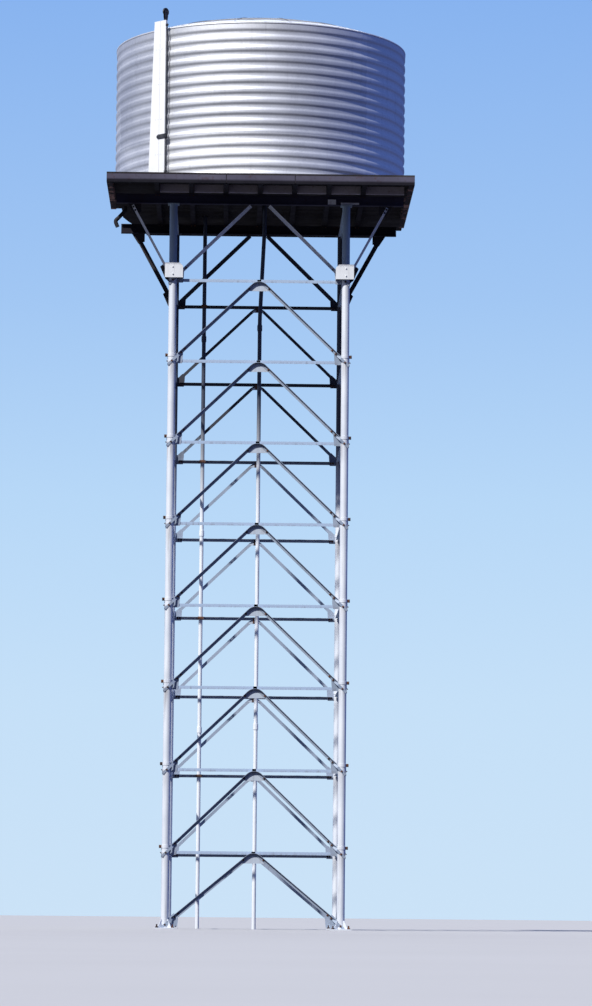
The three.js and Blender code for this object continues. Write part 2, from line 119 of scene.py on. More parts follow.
# Platform
BEARER_HALF_FLANGE = 0.045
BEARER_BOLTS = (0.03, 0.024)  # from the bearer's axis and from the joist's
BEARER_FLANGE_THICKNESS = 0.011
PACKER_FOOT = 10.656
PACKER_PROUD = 0.006
PACKER_WEB = 0.004
PACKERS = [(1.0, 1.12, 10.73), (1.19, 1.46, 10.684)]  # left, right, top
JOIST_BOTTOM = 10.785
JOIST_SPACING = 0.505
JOIST_COUNT = 7
JOIST_FLANGE = 0.07
PLATFORM_HALF = 2.24
DECK_BOTTOM = 10.905
DECK_THICKNESS = 0.028
DECK_TOP = DECK_BOTTOM + DECK_THICKNESS
DECK_LIFT = 0.0002
BOARD_COUNT = 30
BOARD_PITCH = 2 * PLATFORM_HALF / BOARD_COUNT
BOARD_GAP = 0.006
BOARD_TRIM = 0.012
BOARD_SINK = 0.002
DECK_INSET_X = -2.105
DECK_INSET_START = 0.6
DECK_CORNER_START = 1.35
DECK_CORNER_X = -1.9
PIPE_HOLES = [(0.08, 0.0), (-0.825, 1.195)]
PIPE_HOLE_HALF = 0.045
BLOCKING_Y = -1.47
BLOCKING_GAP = 0.004
BLOCKING_END = 0.12  # from the platform's right edge
BLOCKING_DEPTH = 0.05
BLOCKING_WEB = 0.008
BLOCKING_FLANGE = 0.006
EDGE_FLANGE = 0.08
EDGE_WEB = 0.007
# Below this height the front channel's paint turns near black: painted shade along its lowest few
# centimetres.
PAINTED_SHADE_TOP = JOIST_BOTTOM + 0.047
PAINTED_SHADE_BLEND = 0.014
FRONT_JOINTS = (-0.5, 0.5)
JOINT_GAP = 0.012
SPLICE_HALF = 0.08
SPLICE_GAP = 0.004
SPLICE_BOLTS = (0.05, 0.025)  # from the joint, and from the plate's edges

# Tank
TANK_RADIUS = 2.185
WALL_HEIGHT = 2.24
RIM = DECK_TOP + WALL_HEIGHT
WAVE_DEPTH = 0.0165
WAVE_PITCH = 0.1555
WAVE_STEPS = 14
WAVE_SHARPNESS = 1.9
FIRST_CREST = 0.061  # below the rim
RING_CRESTS = (2, 6, 10)  # the crests, counted from the rim, at which a ring of sheet ends
WALL_SHEETS = 3
WALLS_BEHIND_SHEETS = [(1, 2), (3, 4, 5), (6, 7, 8)]
FIRST_SEAM = radians(-48.2)
LOWER_SEAM_SHIFT = radians(2.5)
SHEET_STEPS = 64
SHEET_THICKNESS = 0.0008
SHEET_TONE = 0.35  # the darkest sheet's share of old grey
LAP_WIDTH = 0.045
LAP_LIFT = 0.001
LAP_PROFILE = ((-0.5, 0.0), (-0.05, LAP_LIFT), (0.5, LAP_LIFT), (1.0, LAP_LIFT))  # share of width, lift
RIVET_RADIUS = 0.004
RIVETS_AROUND = 88
RIVET_EDGE = 0.012  # from a ring's lower edge
RIVET_CLEAR = 0.02  # the least between a crest's rivet and a ring's ends
ROOF_EDGE = 0.02
ROOF_RISE = 0.408
ROOF_PANELS = 16
ROOF_STEPS = 14
ROOF_SIDES = 96
ROOF_SKIN = 0.003
ROOF_EYE = 0.02  # the hole that the cap covers
ROOF_SKIRT = (1.93, 2.02)  # where the bright skirt turns into the dark crown
RIB_HEIGHT = 0.007
RIB_WIDTH = 0.022
RIB_REACH = (0.2, TANK_RADIUS - 0.03)
RIB_SINK = 0.001
RIB_BOLTS = (9, 0.35, 0.22)  # count, first radius and pitch
RIB_BOLT_SHARE = 0.95  # of the rib's width, from its middle
CAP_PROFILE = [(0.24, -0.002), (0.24, 0.011), (0.21, 0.0135)]  # radius, and height over the roof
CAP_SIDES = 48
EDGE_RING_PROUD = 0.003
EDGE_RING_INNER = TANK_RADIUS - 0.03
EDGE_RING_LAP = 0.004
EDGE_RING_SIDES = 144
EDGE_BOLTS = 56
EDGE_BOLT_RISE = 0.008
ROOF_BOLT_RADIUS = 0.005
HATCH_HALF = 0.3
HATCH_DISTANCE = 1.3
HATCH_TOP = RIM + 0.4215
CURB_HALF = 0.28
CURB_DROP = 0.03
CURB_SINK = 0.01
LID_PROFILE = ((1.0, -0.05), (1.0, -0.024), (0.97, -0.018), (0.5, -0.012))  # share of the half, height
HINGES = (-0.18, 0.18)
HINGE_PIN = (0.009, 0.05, 0.008, 0.03)  # radius, half length, in front of the lid, below its top
HINGE_LEAF = (0.03, 0.12, 0.0125, 0.02)  # half width, length, top and foot below the lid's top
HANDLE_SHARE = 0.72  # of the way from the hatch's middle to its back edge
HANDLE_HALF = 0.07
HANDLE_RADIUS = 0.005
HANDLE_HEIGHTS = (0.02, 0.006, 0.003)  # below the lid's top: the posts' foot, the grip, the posts' top

# Level gauge, drawn with the wall's outside at y = 0 and the viewer towards -y
GAUGE_FRAME = Matrix.Rotation(radians(-42.5), 4, "Z") @ Matrix.Translation((0, -TANK_RADIUS, 0))
BOARD_BATTEN = 0.04
BOARD_THICKNESS = 0.02
BOARD_FRONT = -(BOARD_BATTEN + BOARD_THICKNESS)
BOARD_RIGHT = 0.134
BOARD_TOP_WIDTH = 0.228
BOARD_FOOT_WIDTH = 0.32
BOARD_TOP = RIM + 0.13
BOARD_FOOT = DECK_TOP + 0.03
BOARD_HEAD = (0.07, 0.01, 0.002)  # the block behind the top: height, left and right insets
BOARD_BEVEL = 0.002
PLANK_SPLIT = BOARD_RIGHT - 0.112
PLANK_HALF_GAP = 0.0015
BATTENS = 4
BATTEN_HALF = 0.076
BATTEN_INSET = 0.32
SCREWS = (-0.045, 0.0, 0.045, 0.07)
SCREW_RADIUS = 0.006
GUIDE_RADIUS = 0.008
GUIDE_X = BOARD_RIGHT + 0.023
GUIDE_Y = -0.053
GUIDE_INSET = 0.06
GUIDE_LUG = (0.012, 0.03)  # half width and height
GUIDE_LUG_GAP = 0.0003
GUIDE_BOLT = (0.007, 0.006)
POINTER_Z = DECK_TOP + 0.636
POINTER_LENGTH = 0.175
POINTER_HEIGHT = 0.065
POINTER_THICKNESS = 0.006
POINTER_TIP = (0.03, 0.012)  # length of the taper and half height at its end
POINTER_BOLTS = (-0.018, 0.018)
POINTER_BOLT = (0.005, 0.003)
SLIDER_HALF = 0.018
SLIDER_BORE = 0.009
SLIDER_SIDES = 32
WHEEL_HALF_WIDTH = 0.008
WHEEL_GROOVE = [(0.042, -1.0), (0.06, -1.0), (0.0585, -0.75), (0.0515, 0.0)]  # radius, share of the half
WHEEL_WEB = [(0.0435, -0.002), (0.0165, -0.003), (0.0165, 0.003), (0.0435, 0.002)]
WHEEL_HUB = (0.0082, 0.018)  # bore and outside
WHEEL_SIDES = 48
WHEEL_RIBS = (5, 0.3, 0.016, 0.044)  # count, first angle, inner and outer end
WHEEL_RIB_HALF = (0.005, 0.003)
WHEEL_INSET = 0.02  # from the board's right edge to the middle of the wheel
WHEEL_OUT = 0.0425
WHEEL_RISE = 0.125
WHEEL_CENTRE = (BOARD_RIGHT - WHEEL_INSET, -WHEEL_OUT, BOARD_TOP + WHEEL_RISE)
AXLE_RADIUS = 0.0075
AXLE_SIDES = 20
CHEEK_INNER = 0.013
CHEEK_OUTER = 0.019
CHEEK_FOOT = (0.0175, 0.01)  # half width and thickness
CHEEK_SIDE = [(0.03, -0.075), (0.03, 0.0), (0.024, 0.014), (0.015, 0.02)]  # from the axle, over the foot
CHEEK_BOLT = (0.01, 0.006)

# Pipes
PIPE_RADIUS = 0.03
PIPE_SIDES = 20
RISER_PATH = [(0.022, 0.0), (0.022, 9.155), (0.08, 10.505), (0.08, DECK_TOP)]
RISER_BEND = (0.12, 6)  # reach and steps
OUTLET = (-0.825, 1.195)
DRAIN_Y = 0.42
DRAIN_PATH = [(-2.04, 0.0), (-2.04, -0.06), (-2.13, -0.165), (-2.18, -0.225), (-2.15, -0.315)]
DRAIN_STEPS = 6
COUPLING_SPACING = 3.0
COUPLING_STEPS = ((0.04, 0.008), (0.052, 0.003))  # half length, and how far it stands out
BRACKET_HALF = 0.045
BRACKET_BAR = 0.015
BRACKET_RISE = 0.02
BRACKET_BACK = 0.012
BRACKET_END = 0.01
BRACKET_CLEAR = 0.001
STUB = ((-0.15, -0.008, 8.63), (-0.028, 0.008, 8.67))  # a short arm on the outlet, from its axis

# Camera, for a picture of 592 by 1006
CAMERA_PLACE = (-0.37589, -58.0875, 0.2)
CAMERA_YAW = 0.01667
CAMERA_PITCH = 0.10561
CAMERA_ROLL = 0.00937
CAMERA_LENS = 139.52
CAMERA_SENSOR = 36.0
CAMERA_REACH = 1000.0

# Light: azimuths run from the front round to the left
KEY_AZIMUTH = 38
LAMPS = [  # name, azimuth, elevation, energy, spread in degrees, colour
    ("key", KEY_AZIMUTH, 44.2, 4.5, 1.6, (1.0, 0.99, 0.97)),
    ("back", 180, 35, 0.6, 25, (0.85, 0.92, 1.0)),
]
FLOOR_REACH = 400.0
SKY_STOPS = [
    (-1.0, (0.042, 0.037, 0.040)),
    (-0.5, (0.044, 0.039, 0.044)),
    (-0.1, (0.050, 0.045, 0.055)),
    (0.0, (0.040, 0.062, 0.16)),
    (0.25, (0.036, 0.068, 0.21)),
    (1.0, (0.032, 0.066, 0.21)),
]
NO_LIGHT = (0.0, 0.0, 0.0)
PANELS = [  # azimuth, elevation, and the light at cosines of the angle from there
    (KEY_AZIMUTH, 30, [(0.3, NO_LIGHT), (0.8, (0.03, 0.034, 0.04)), (1.0, (0.18, 0.18, 0.18))]),
    (125, 5, [(0.45, NO_LIGHT), (0.95, (0.06, 0.11, 0.25))]),
    (105, -45, [(0.5, NO_LIGHT), (0.95, (0.30, 0.31, 0.33))]),
    (-105, 18, [(0.2, NO_LIGHT), (0.95, (0.06, 0.105, 0.34))]),
]
BACKDROP_STOPS = [
    (-0.02, (0.61, 0.77, 0.93)),
    (0.055, (0.56, 0.745, 0.94)),
    (0.106, (0.475, 0.685, 0.935)),
    (0.157, (0.36, 0.57, 0.90)),
    (0.24, (0.235, 0.44, 0.86)),
]

UP = Vector((0, 0, 1))
BACKWARD = Vector((0, 1, 0))


class Shape:
    """Points and faces of one piece, gathered before its mesh is made."""

    def __init__(self):
        self.points = []
        self.faces = []
        self.smooth = []

    def add(self, points, faces, smooth=False):
        """Adds points with the faces between them, and returns the first point's number."""
        start = len(self.points)
        self.points.extend(Vector(p) for p in points)
        self.link(start, faces, smooth)
        return start

    def link(self, start, faces, smooth=False):
        """Adds faces between points that are numbered from a start."""
        self.faces.extend([start + i for i in face] for face in faces)
        self.smooth.extend([smooth] * len(faces))

    def loft(self, rings, smooth=False, capped=True):
        """Skins a row of rings that all have the same number of points."""
        count = len(rings[0])
        last = (len(rings) - 1) * count
        sides = []
        for low in range(0, last, count):
            for i in range(count):
                j = (i + 1) % count
                sides.append((low + i, low + j, low + count + j, low + count + i))
        start = self.add([p for ring in rings for p in ring], sides, smooth)
        if capped:
            self.link(start, [range(count - 1, -1, -1), range(last, last + count)])

    def hoop(self, rings, smooth=False):
        """Skins a row of rings and joins the last one to the first."""
        self.loft(rings + [rings[0]], smooth, capped=False)

    def moved(self, matrix):
        self.points = [matrix @ p for p in self.points]
        return self


def circle(radius, sides):
    return [(radius * cos(2 * pi * i / sides), radius * sin(2 * pi * i / sides)) for i in range(sides)]


def rectangle(low, high):
    return [(low[0], low[1]), (high[0], low[1]), (high[0], high[1]), (low[0], high[1])]


def upright(section, heights):
    """The same (x, y) section at several heights."""
    return [[(x, y, z) for x, y in section] for z in heights]


def turned(profile, sides, x=0.0, y=0.0):
    """A ring for each (radius, z) point of a profile, round an upright axis."""
    return [[(x + u, y + v, z) for u, v in circle(radius, sides)] for radius, z in profile]


def radial(angle):
    return Vector((cos(angle), sin(angle), 0))


def extrude(shape, section, start, end, up=UP, smooth=False):
    """Runs a section of (side, top) points from one point to another."""
    start, end = Vector(start), Vector(end)
    along = (end - start).normalized()
    side = along.cross(Vector(up)).normalized()
    top = side.cross(along)
    shape.loft([[p + side * u + top * v for u, v in section] for p in (start, end)], smooth)


def block(shape, low, high):
    shape.loft(upright(rectangle(low, high), (low[2], high[2])))


def rod(shape, start, end, radius, sides=12, smooth=True):
    steep = abs((Vector(end) - Vector(start)).normalized().z) > 0.9
    extrude(shape, circle(radius, sides), start, end, BACKWARD if steep else UP, smooth)


def bolt(shape, place, direction, radius=BOLT_RADIUS, height=BOLT_HEIGHT):
    """A hexagon head on a washer, with the bolt's end over it, standing on a surface."""
    place, direction = Vector(place), Vector(direction).normalized()
    base = place + direction * WASHER
    top = base + direction * height
    rod(shape, place, base, radius * WASHER_SHARE, 12, False)
    rod(shape, base, top, radius, 6, False)
    rod(shape, top, place + direction * (height + BOLT_END), radius / 2, 6, False)


def dome(shape, place, direction, radius):
    """The low round head of a rivet, screw or bolt."""
    place, direction = Vector(place), Vector(direction).normalized()
    side = direction.orthogonal().normalized()
    across = direction.cross(side)
    rings = []
    for share, rise in DOME_PROFILE:
        middle = place + direction * radius * rise
        rings.append([middle + (side * u + across * v) * share for u, v in circle(radius, 8)])
    shape.loft(rings, True)


def mesh_of(name, shape, material):
    """The shape's mesh; smooth faces are parted from flat ones, which keeps their shading even."""
    mesh = bpy.data.meshes.new(name)
    mesh.from_pydata([tuple(p) for p in shape.points], [], shape.faces)
    mesh.polygons.foreach_set("use_smooth", shape.smooth)
    parted = bmesh.new()
    parted.from_mesh(mesh)
    bmesh.ops.recalc_face_normals(parted, faces=parted.faces)
    rims = [edge for edge in parted.edges if len({face.smooth for face in edge.link_faces}) == 2]
    bmesh.ops.split_edges(parted, edges=rims)
    parted.to_mesh(mesh)
    parted.free()
    mesh.materials.append(material)
    return mesh


def placed(name, data):
    made = bpy.data.objects.new(name, data)
    bpy.context.scene.collection.objects.link(made)
    return made


def piece(name, shape, material, body="tower", stands_for=(), bevel=0.0):
    """Puts a shape in the scene, parents it to its body's empty, and hides the CAD nodes it stands for."""
    made = placed(name, mesh_of(name, shape, material))
    if bevel:
        rounding = made.modifiers.new("edges", "BEVEL")
        rounding.width = bevel
        rounding.segments = 2
        rounding.limit_method = "ANGLE"
    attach(made, body)
    if stands_for:
        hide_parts(*stands_for)


def repaint(name, material):
    """Gives a carried-over CAD node its material."""
    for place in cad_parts[name].material_slots:
        place.material = material


class Nodes:
    """Adds shader nodes to one tree. Colours are given without alpha."""

    def __init__(self, tree):
        self.tree = tree

    def node(self, kind, **inputs):
        made = self.tree.nodes.new("ShaderNode" + kind)
        for key, value in inputs.items():
            self.feed(made.inputs[key], value)
        return made

    def feed(self, socket, value):
        """Links a socket to another one, or sets its value."""
        if isinstance(value, bpy.types.NodeSocket):
            self.tree.links.new(value, socket)
        elif socket.type == "RGBA":
            socket.default_value = (*value, 1.0)
        else:
            socket.default_value = value

    def split(self, vector):
        return self.node("SeparateXYZ", Vector=vector).outputs

    def span(self, value, low, high, start=0.0, end=1.0):
        """Maps low..high to start..end and holds it there outside."""
        ends = {"From Min": low, "From Max": high, "To Min": start, "To Max": end}
        return self.node("MapRange", Value=value, **ends).outputs["Result"]

    def calc(self, operation, a, b=0.0):
        made = self.node("Math")
        made.operation = operation
        self.feed(made.inputs[0], a)
        self.feed(made.inputs[1], b)
        return made.outputs[0]

    def vectors(self, operation, a, b=(0.0, 0.0, 0.0)):
        made = self.node("VectorMath")
        made.operation = operation
        self.feed(made.inputs[0], a)
        self.feed(made.inputs[1], b)
        return made.outputs


class Finish(Nodes):
    """Builds one material: colour, roughness and bump that change over the surface."""

    def __init__(self, name, metallic=0.0, gloss=0.5):
        self.material = bpy.data.materials.new(name)
        self.material.use_nodes = True
        super().__init__(self.material.node_tree)
        self.shader = self.tree.nodes["Principled BSDF"]
        self.shader.inputs["Metallic"].default_value = metallic
        self.shader.inputs["Specular IOR Level"].default_value = gloss
        self.place = self.node("TexCoord").outputs["Object"]

    def noise(self, scale, detail=5.0, stretch=(1, 1, 1), roughness=0.55):
        vector = self.node("Mapping", Vector=self.place, Scale=stretch).outputs["Vector"]
        made = self.node("TexNoise", Vector=vector, Scale=scale, Detail=detail, Roughness=roughness)
        return made.outputs["Fac"]

    def cells(self, scale):
        made = self.node("TexVoronoi", Vector=self.place, Scale=scale)
        return self.node("SeparateColor", Color=made.outputs["Color"]).outputs["Red"]

    def height(self):
        return self.split(self.place)["Z"]

    def mix(self, share, a, b):
        made = self.node("Mix")
        made.data_type = "RGBA"
        colours = [socket for socket in made.inputs if socket.type == "RGBA"]
        self.feed(made.inputs["Factor"], share)
        self.feed(colours[0], a)
        self.feed(colours[1], b)
        return [socket for socket in made.outputs if socket.type == "RGBA"][0]

    def tint(self, colour, value, low, high, share, over):
        """Lays one colour over another as a value grows from low to high, up to a share."""
        return self.mix(self.span(value, low, high, 0.0, share), colour, over)

    def done(self, colour, roughness, bump, depth):
        self.feed(self.shader.inputs["Base Color"], colour)
        self.feed(self.shader.inputs["Roughness"], roughness)
        bumped = self.node("Bump", Height=bump, Distance=depth, Strength=1.0)
        self.feed(self.shader.inputs["Normal"], bumped.outputs["Normal"])
        return self.material


def galvanised(name, pale, deep, metallic, extra_tone):
    """Zinc with spangle, chalky bloom and streaks that run down; the last argument adds a tone of its own.
    """
    finish = Finish(name, metallic)
    spangle = finish.cells(48.0)
    cloud = finish.noise(1.4, 6.0)
    streak = finish.noise(1.0, 6.0, (11, 11, 0.7))
    colour = finish.mix(spangle, deep, pale)
    bloom = [min(1.0, c * 1.06 + 0.02) for c in pale]
    colour = finish.tint(colour, cloud, 0.45, 0.7, 0.6, bloom)
    grime = [c * 0.5 for c in deep]
    colour = finish.tint(colour, streak, 0.58, 0.8, 0.4, grime)
    colour = extra_tone(finish, colour)
    roughness = finish.span(cloud, 0.35, 0.7, 0.55, 0.63)
    bump = finish.calc("ADD", finish.calc("MULTIPLY", spangle, 0.25), finish.noise(22.0, 4.0))
    return finish.done(colour, roughness, bump, 0.0004)


def sheet_tones(finish, colour):
    """Every sheet of the wall has weathered a little differently."""
    place = finish.split(finish.place)
    turn = finish.calc("ARCTAN2", place["Y"], place["X"])
    from_seam = finish.calc("SUBTRACT", turn, FIRST_SEAM + LOWER_SEAM_SHIFT + LAP_WIDTH / TANK_RADIUS)
    sheet = finish.calc("FLOOR", finish.calc("DIVIDE", from_seam, 2 * pi / WALL_SHEETS))
    drop = finish.calc("SUBTRACT", RIM - FIRST_CREST, place["Z"])
    waves = finish.calc("DIVIDE", drop, WAVE_PITCH)
    step = RING_CRESTS[1] - RING_CRESTS[0]
    rings = finish.calc("DIVIDE", finish.calc("ADD", waves, step - RING_CRESTS[0]), step)
    ring = finish.calc("MINIMUM", finish.calc("FLOOR", rings), len(RING_CRESTS))
    number = finish.node("CombineXYZ", X=sheet, Y=ring).outputs["Vector"]
    tone = finish.node("TexWhiteNoise", Vector=number).outputs["Value"]
    return finish.tint(colour, tone, 0.0, 1.0, SHEET_TONE, (0.26, 0.28, 0.34))


def dark_crown(finish, colour):
    """The roof is bright at its skirt and darker over its crown."""
    place = finish.split(finish.place)
    flat = finish.node("CombineXYZ", X=place["X"], Y=place["Y"]).outputs["Vector"]
    ragged = finish.span(finish.noise(3.0, 6.0), 0.3, 0.7, -0.05, 0.05)
    reach = finish.calc("ADD", finish.vectors("LENGTH", flat)["Value"], ragged)
    old = finish.mix(finish.noise(2.2, 7.0), (0.09, 0.09, 0.098), (0.17, 0.15, 0.145))
    return finish.mix(finish.span(reach, *ROOF_SKIRT, 1.0, 0.0), colour, old)


def stained_steel(name, pale, deep, metallic, stain_share, above=None):
    """Galvanised members, stained under each level's joints.

    above is a colour that sets in between two heights: (low, high, colour); where it is darker it is
    painted shade, where it is paler painted light.
    """
    finish = Finish(name, metallic)
    patches = finish.noise(2.2, 6.0)
    streak = finish.noise(1.0, 6.0, (26, 26, 1.1))
    colour = finish.mix(finish.span(patches, 0.35, 0.7), pale, deep)
    bay = finish.calc("DIVIDE", finish.calc("SUBTRACT", finish.height(), FIRST_LEVEL), BAY_HEIGHT)
    along = finish.calc("FRACT", finish.calc("ADD", bay, 1.0))
    stain = finish.calc("MULTIPLY", finish.span(along, 0.72, 0.98), finish.span(streak, 0.42, 0.68))
    colour = finish.mix(finish.calc("MULTIPLY", stain, stain_share), colour, (0.16, 0.10, 0.07))
    colour = finish.tint(colour, streak, 0.6, 0.8, 0.45, (0.12, 0.11, 0.11))
    flecks = finish.noise(18.0, 8.0, roughness=0.7)
    colour = finish.tint(colour, flecks, 0.68, 0.78, 0.7, (0.17, 0.08, 0.05))
    # Over the upper part the colour is painted: shade where it is darker, light where it is paler.
    if above:
        low, high, painted_tone = above
        ragged = finish.calc("ADD", finish.height(), finish.span(streak, 0.3, 0.7, -0.1, 0.1))
        colour = finish.mix(finish.span(ragged, low, high), colour, painted_tone)
    roughness = finish.span(patches, 0.3, 0.7, 0.45, 0.7)
    return finish.done(colour, roughness, finish.noise(45.0, 5.0), 0.0008)


def rusty_paint(name, paint, faded, rust, rust_start, bumpiness, painted_shade_top=None):
    """Old dark paint, faded in places, with rust breaking through, and painted shade below a height."""
    finish = Finish(name, gloss=0.2)
    colour = finish.mix(finish.span(finish.noise(1.1, 6.0), 0.35, 0.68), paint, faded)
    broad = finish.noise(2.6, 8.0, roughness=0.68)
    fine = finish.noise(24.0, 8.0, roughness=0.7)
    both = finish.calc("ADD", finish.calc("MULTIPLY", broad, 0.7), finish.calc("MULTIPLY", fine, 0.3))
    patches = finish.span(both, rust_start, rust_start + 0.09)
    colour = finish.mix(patches, colour, rust)
    dark_rust = [c * 0.45 for c in rust]
    colour = finish.tint(colour, fine, 0.55, 0.7, 0.5, dark_rust)
    # Near black below a height: painted shade.
    if painted_shade_top:
        ends = (painted_shade_top - PAINTED_SHADE_BLEND, painted_shade_top + PAINTED_SHADE_BLEND)
        colour = finish.mix(finish.span(finish.height(), *ends, 1.0, 0.0), colour, (0.008, 0.007, 0.013))
    roughness = finish.span(both, 0.4, 0.62, 0.55, 0.92)
    bump = finish.calc("ADD", finish.calc("MULTIPLY", patches, 0.6), finish.noise(70.0, 6.0))
    return finish.done(colour, roughness, bump, bumpiness)


def weathered_boards():
    """Dark grey-brown boards: grain along X, and each board its own shade."""
    finish = Finish("weathered_boards", gloss=0.2)
    across = finish.split(finish.place)["Y"]
    boards = finish.calc("DIVIDE", finish.calc("ADD", across, PLATFORM_HALF), BOARD_PITCH)
    shade = finish.node("TexWhiteNoise")
    shade.noise_dimensions = "1D"
    finish.feed(shade.inputs["W"], finish.calc("FLOOR", boards))
    grain = finish.noise(1.0, 8.0, (2.5, 70, 70), 0.7)
    colour = finish.mix(shade.outputs["Value"], (0.020, 0.017, 0.020), (0.040, 0.035, 0.038))
    colour = finish.tint(colour, grain, 0.42, 0.7, 1.0, (0.02, 0.016, 0.017))
    colour = finish.tint(colour, finish.noise(1.7, 5.0), 0.5, 0.72, 0.6, (0.08, 0.074, 0.074))
    return finish.done(colour, finish.span(grain, 0.3, 0.7, 0.78, 0.95), grain, 0.0018)


def chalky_white():
    """White paint, chalked and thin at the grain, with faint streaks."""
    finish = Finish("chalky_white")
    streak = finish.noise(1.0, 6.0, (30, 30, 1.2))
    chalk = finish.noise(5.0, 5.0)
    worn = finish.noise(26.0, 8.0, (1, 1, 0.3), 0.7)
    colour = finish.mix(chalk, (0.86, 0.87, 0.88), (0.93, 0.93, 0.92))
    colour = finish.tint(colour, streak, 0.6, 0.8, 0.4, (0.5, 0.49, 0.46))
    colour = finish.tint(colour, worn, 0.72, 0.78, 0.6, (0.36, 0.33, 0.29))
    grain = finish.noise(1.0, 7.0, (60, 60, 3), 0.65)
    return finish.done(colour, finish.span(chalk, 0.3, 0.7, 0.45, 0.7), grain, 0.0008)


def dusty_black():
    """Matt black paint under thin dust, with rusty chips."""
    finish = Finish("dusty_black")
    cover = finish.noise(6.0, 6.0)
    chips = finish.noise(60.0, 6.0, roughness=0.7)
    colour = finish.mix(finish.span(cover, 0.4, 0.72), (0.012, 0.014, 0.02), (0.06, 0.062, 0.07))
    colour = finish.tint(colour, chips, 0.68, 0.75, 0.7, (0.14, 0.07, 0.045))
    return finish.done(colour, finish.span(cover, 0.35, 0.7, 0.42, 0.72), chips, 0.0005)


def pale_ground():
    finish = Finish("pale_ground")
    cloud = finish.noise(0.35, 4.0)
    colour = finish.mix(cloud, (0.50, 0.49, 0.47), (0.54, 0.53, 0.51))
    return finish.done(colour, 0.9, cloud, 0.0005)


ZINC = galvanised("galvanised_sheet", (0.78, 0.79, 0.81), (0.70, 0.71, 0.74), 0.7, sheet_tones)
ROOF_ZINC = galvanised("galvanised_roof", (0.74, 0.75, 0.77), (0.64, 0.65, 0.67), 0.6, dark_crown)
LEG_LOOK = ((0.82, 0.85, 0.89), (0.66, 0.70, 0.76), 0.1, 0.45)
BAR_LOOK = ((0.36, 0.42, 0.52), (0.27, 0.33, 0.42), 0.1, 0.3)
# Rails and apex plates are tinted sky blue: pale galvanised steel, with a painted reflection of the sky.
SKY_TINTED_RAIL_LOOK = ((0.45, 0.57, 0.74), (0.40, 0.51, 0.67), 0.1, 0.3)
SKY_TINTED_PLATE_LOOK = ((0.56, 0.63, 0.72), (0.46, 0.53, 0.61), 0.1, 0.25)
CLEAT_LOOK = ((0.84, 0.86, 0.88), (0.74, 0.76, 0.78), 0.0, 0.2)
PIPE_LOOK = ((0.88, 0.91, 0.94), (0.78, 0.81, 0.86), 0.0, 0.25)
# Front legs: dark blue above 9.55–9.75 m, painted shade under the platform.
LEGS_WITH_PAINTED_SHADE = stained_steel("galvanised_legs_painted_shade", *LEG_LOOK, (9.55, 9.75, (0.33, 0.42, 0.50)))
# Back legs: near black above 6.2–7.6 m, painted shade under the platform.
BACK_LEGS_WITH_PAINTED_SHADE = stained_steel("galvanised_back_legs_painted_shade", *LEG_LOOK, (6.2, 7.6, (0.06, 0.065, 0.085)))
# Front bars: pale above 9.6–9.9 m, painted light on the top bay, which lies in shade.
FRONT_BARS_PAINTED_LIGHT = stained_steel("galvanised_front_bars_painted_light", *BAR_LOOK, (9.6, 9.9, (0.80, 0.83, 0.88)))
SIDE_BARS = stained_steel("galvanised_side_bars", *BAR_LOOK)
# Back bars and rails: near black above 6.8–7.6 m, painted shade under the platform.
BACK_BARS_PAINTED_SHADE = stained_steel("galvanised_back_bars_painted_shade", *BAR_LOOK, (6.8, 7.6, (0.04, 0.042, 0.058)))
RAIL_STEEL = stained_steel("galvanised_rails", *SKY_TINTED_RAIL_LOOK)
PLATE_STEEL = stained_steel("galvanised_plates", *SKY_TINTED_PLATE_LOOK)
# Pale cleat steel; on the front knee bars its paleness is painted light.
CLEAT_STEEL = stained_steel("galvanised_cleats", *CLEAT_LOOK)
# Pipes: dark above 6.2–7.8 m, painted shade under the platform.
PIPE_STEEL_PAINTED_SHADE = stained_steel("galvanised_pipes_painted_shade", *PIPE_LOOK, (6.2, 7.8, (0.05, 0.06, 0.09)))

# Each paint: fresh, faded and rust colours, where its rust starts, and its bumps' depth
# The platform's dark paint, made darker and bluer still as painted shade under the deck.
DARK_COLOURS = ((0.010, 0.009, 0.015), (0.024, 0.021, 0.032), (0.040, 0.021, 0.021))
DARK_PAINT_AND_SHADE = rusty_paint("dark_platform_paint_and_shade", *DARK_COLOURS, 0.54, 0.0016)
# The front channel turns near black along its lowest few centimetres: painted shade.
EDGE_COLOURS = ((0.070, 0.064, 0.096), (0.115, 0.108, 0.150), (0.095, 0.058, 0.064))
EDGE_PAINT = rusty_paint("faded_edge_paint", *EDGE_COLOURS, 0.56, 0.0014, PAINTED_SHADE_TOP)
RUSTY_EDGE = rusty_paint(
    "rusty_edge_paint", (0.018, 0.014, 0.020), (0.035, 0.027, 0.034), (0.42, 0.25, 0.22), 0.48, 0.0018
)
BEARER_PAINT = rusty_paint(
    "bearer_paint", (0.030, 0.028, 0.052), (0.058, 0.054, 0.090), (0.06, 0.04, 0.05), 0.56, 0.0014
)
FADED_PAINT = rusty_paint(
    "faded_platform_paint", (0.42, 0.39, 0.46), (0.62, 0.58, 0.66), (0.30, 0.17, 0.15), 0.58, 0.0014
)
RUSTED = rusty_paint(
    "rusted_fittings", (0.05, 0.035, 0.032), (0.08, 0.05, 0.04), (0.18, 0.08, 0.045), 0.47, 0.0014
)
# Near-black steel: real blackened steel, and on the back knee bars and the knee plates painted shade.
BLACKENED_AND_SHADE = rusty_paint(
    "blackened_steel_and_shade", (0.020, 0.018, 0.022), (0.042, 0.038, 0.044), (0.075, 0.04, 0.03), 0.56, 0.0014
)
BOARDS = weathered_boards()
WHITE = chalky_white()
BLACK = dusty_black()


def on_wall(radius, angle, drop):
    return Vector((radius * cos(angle), radius * sin(angle), RIM - drop))


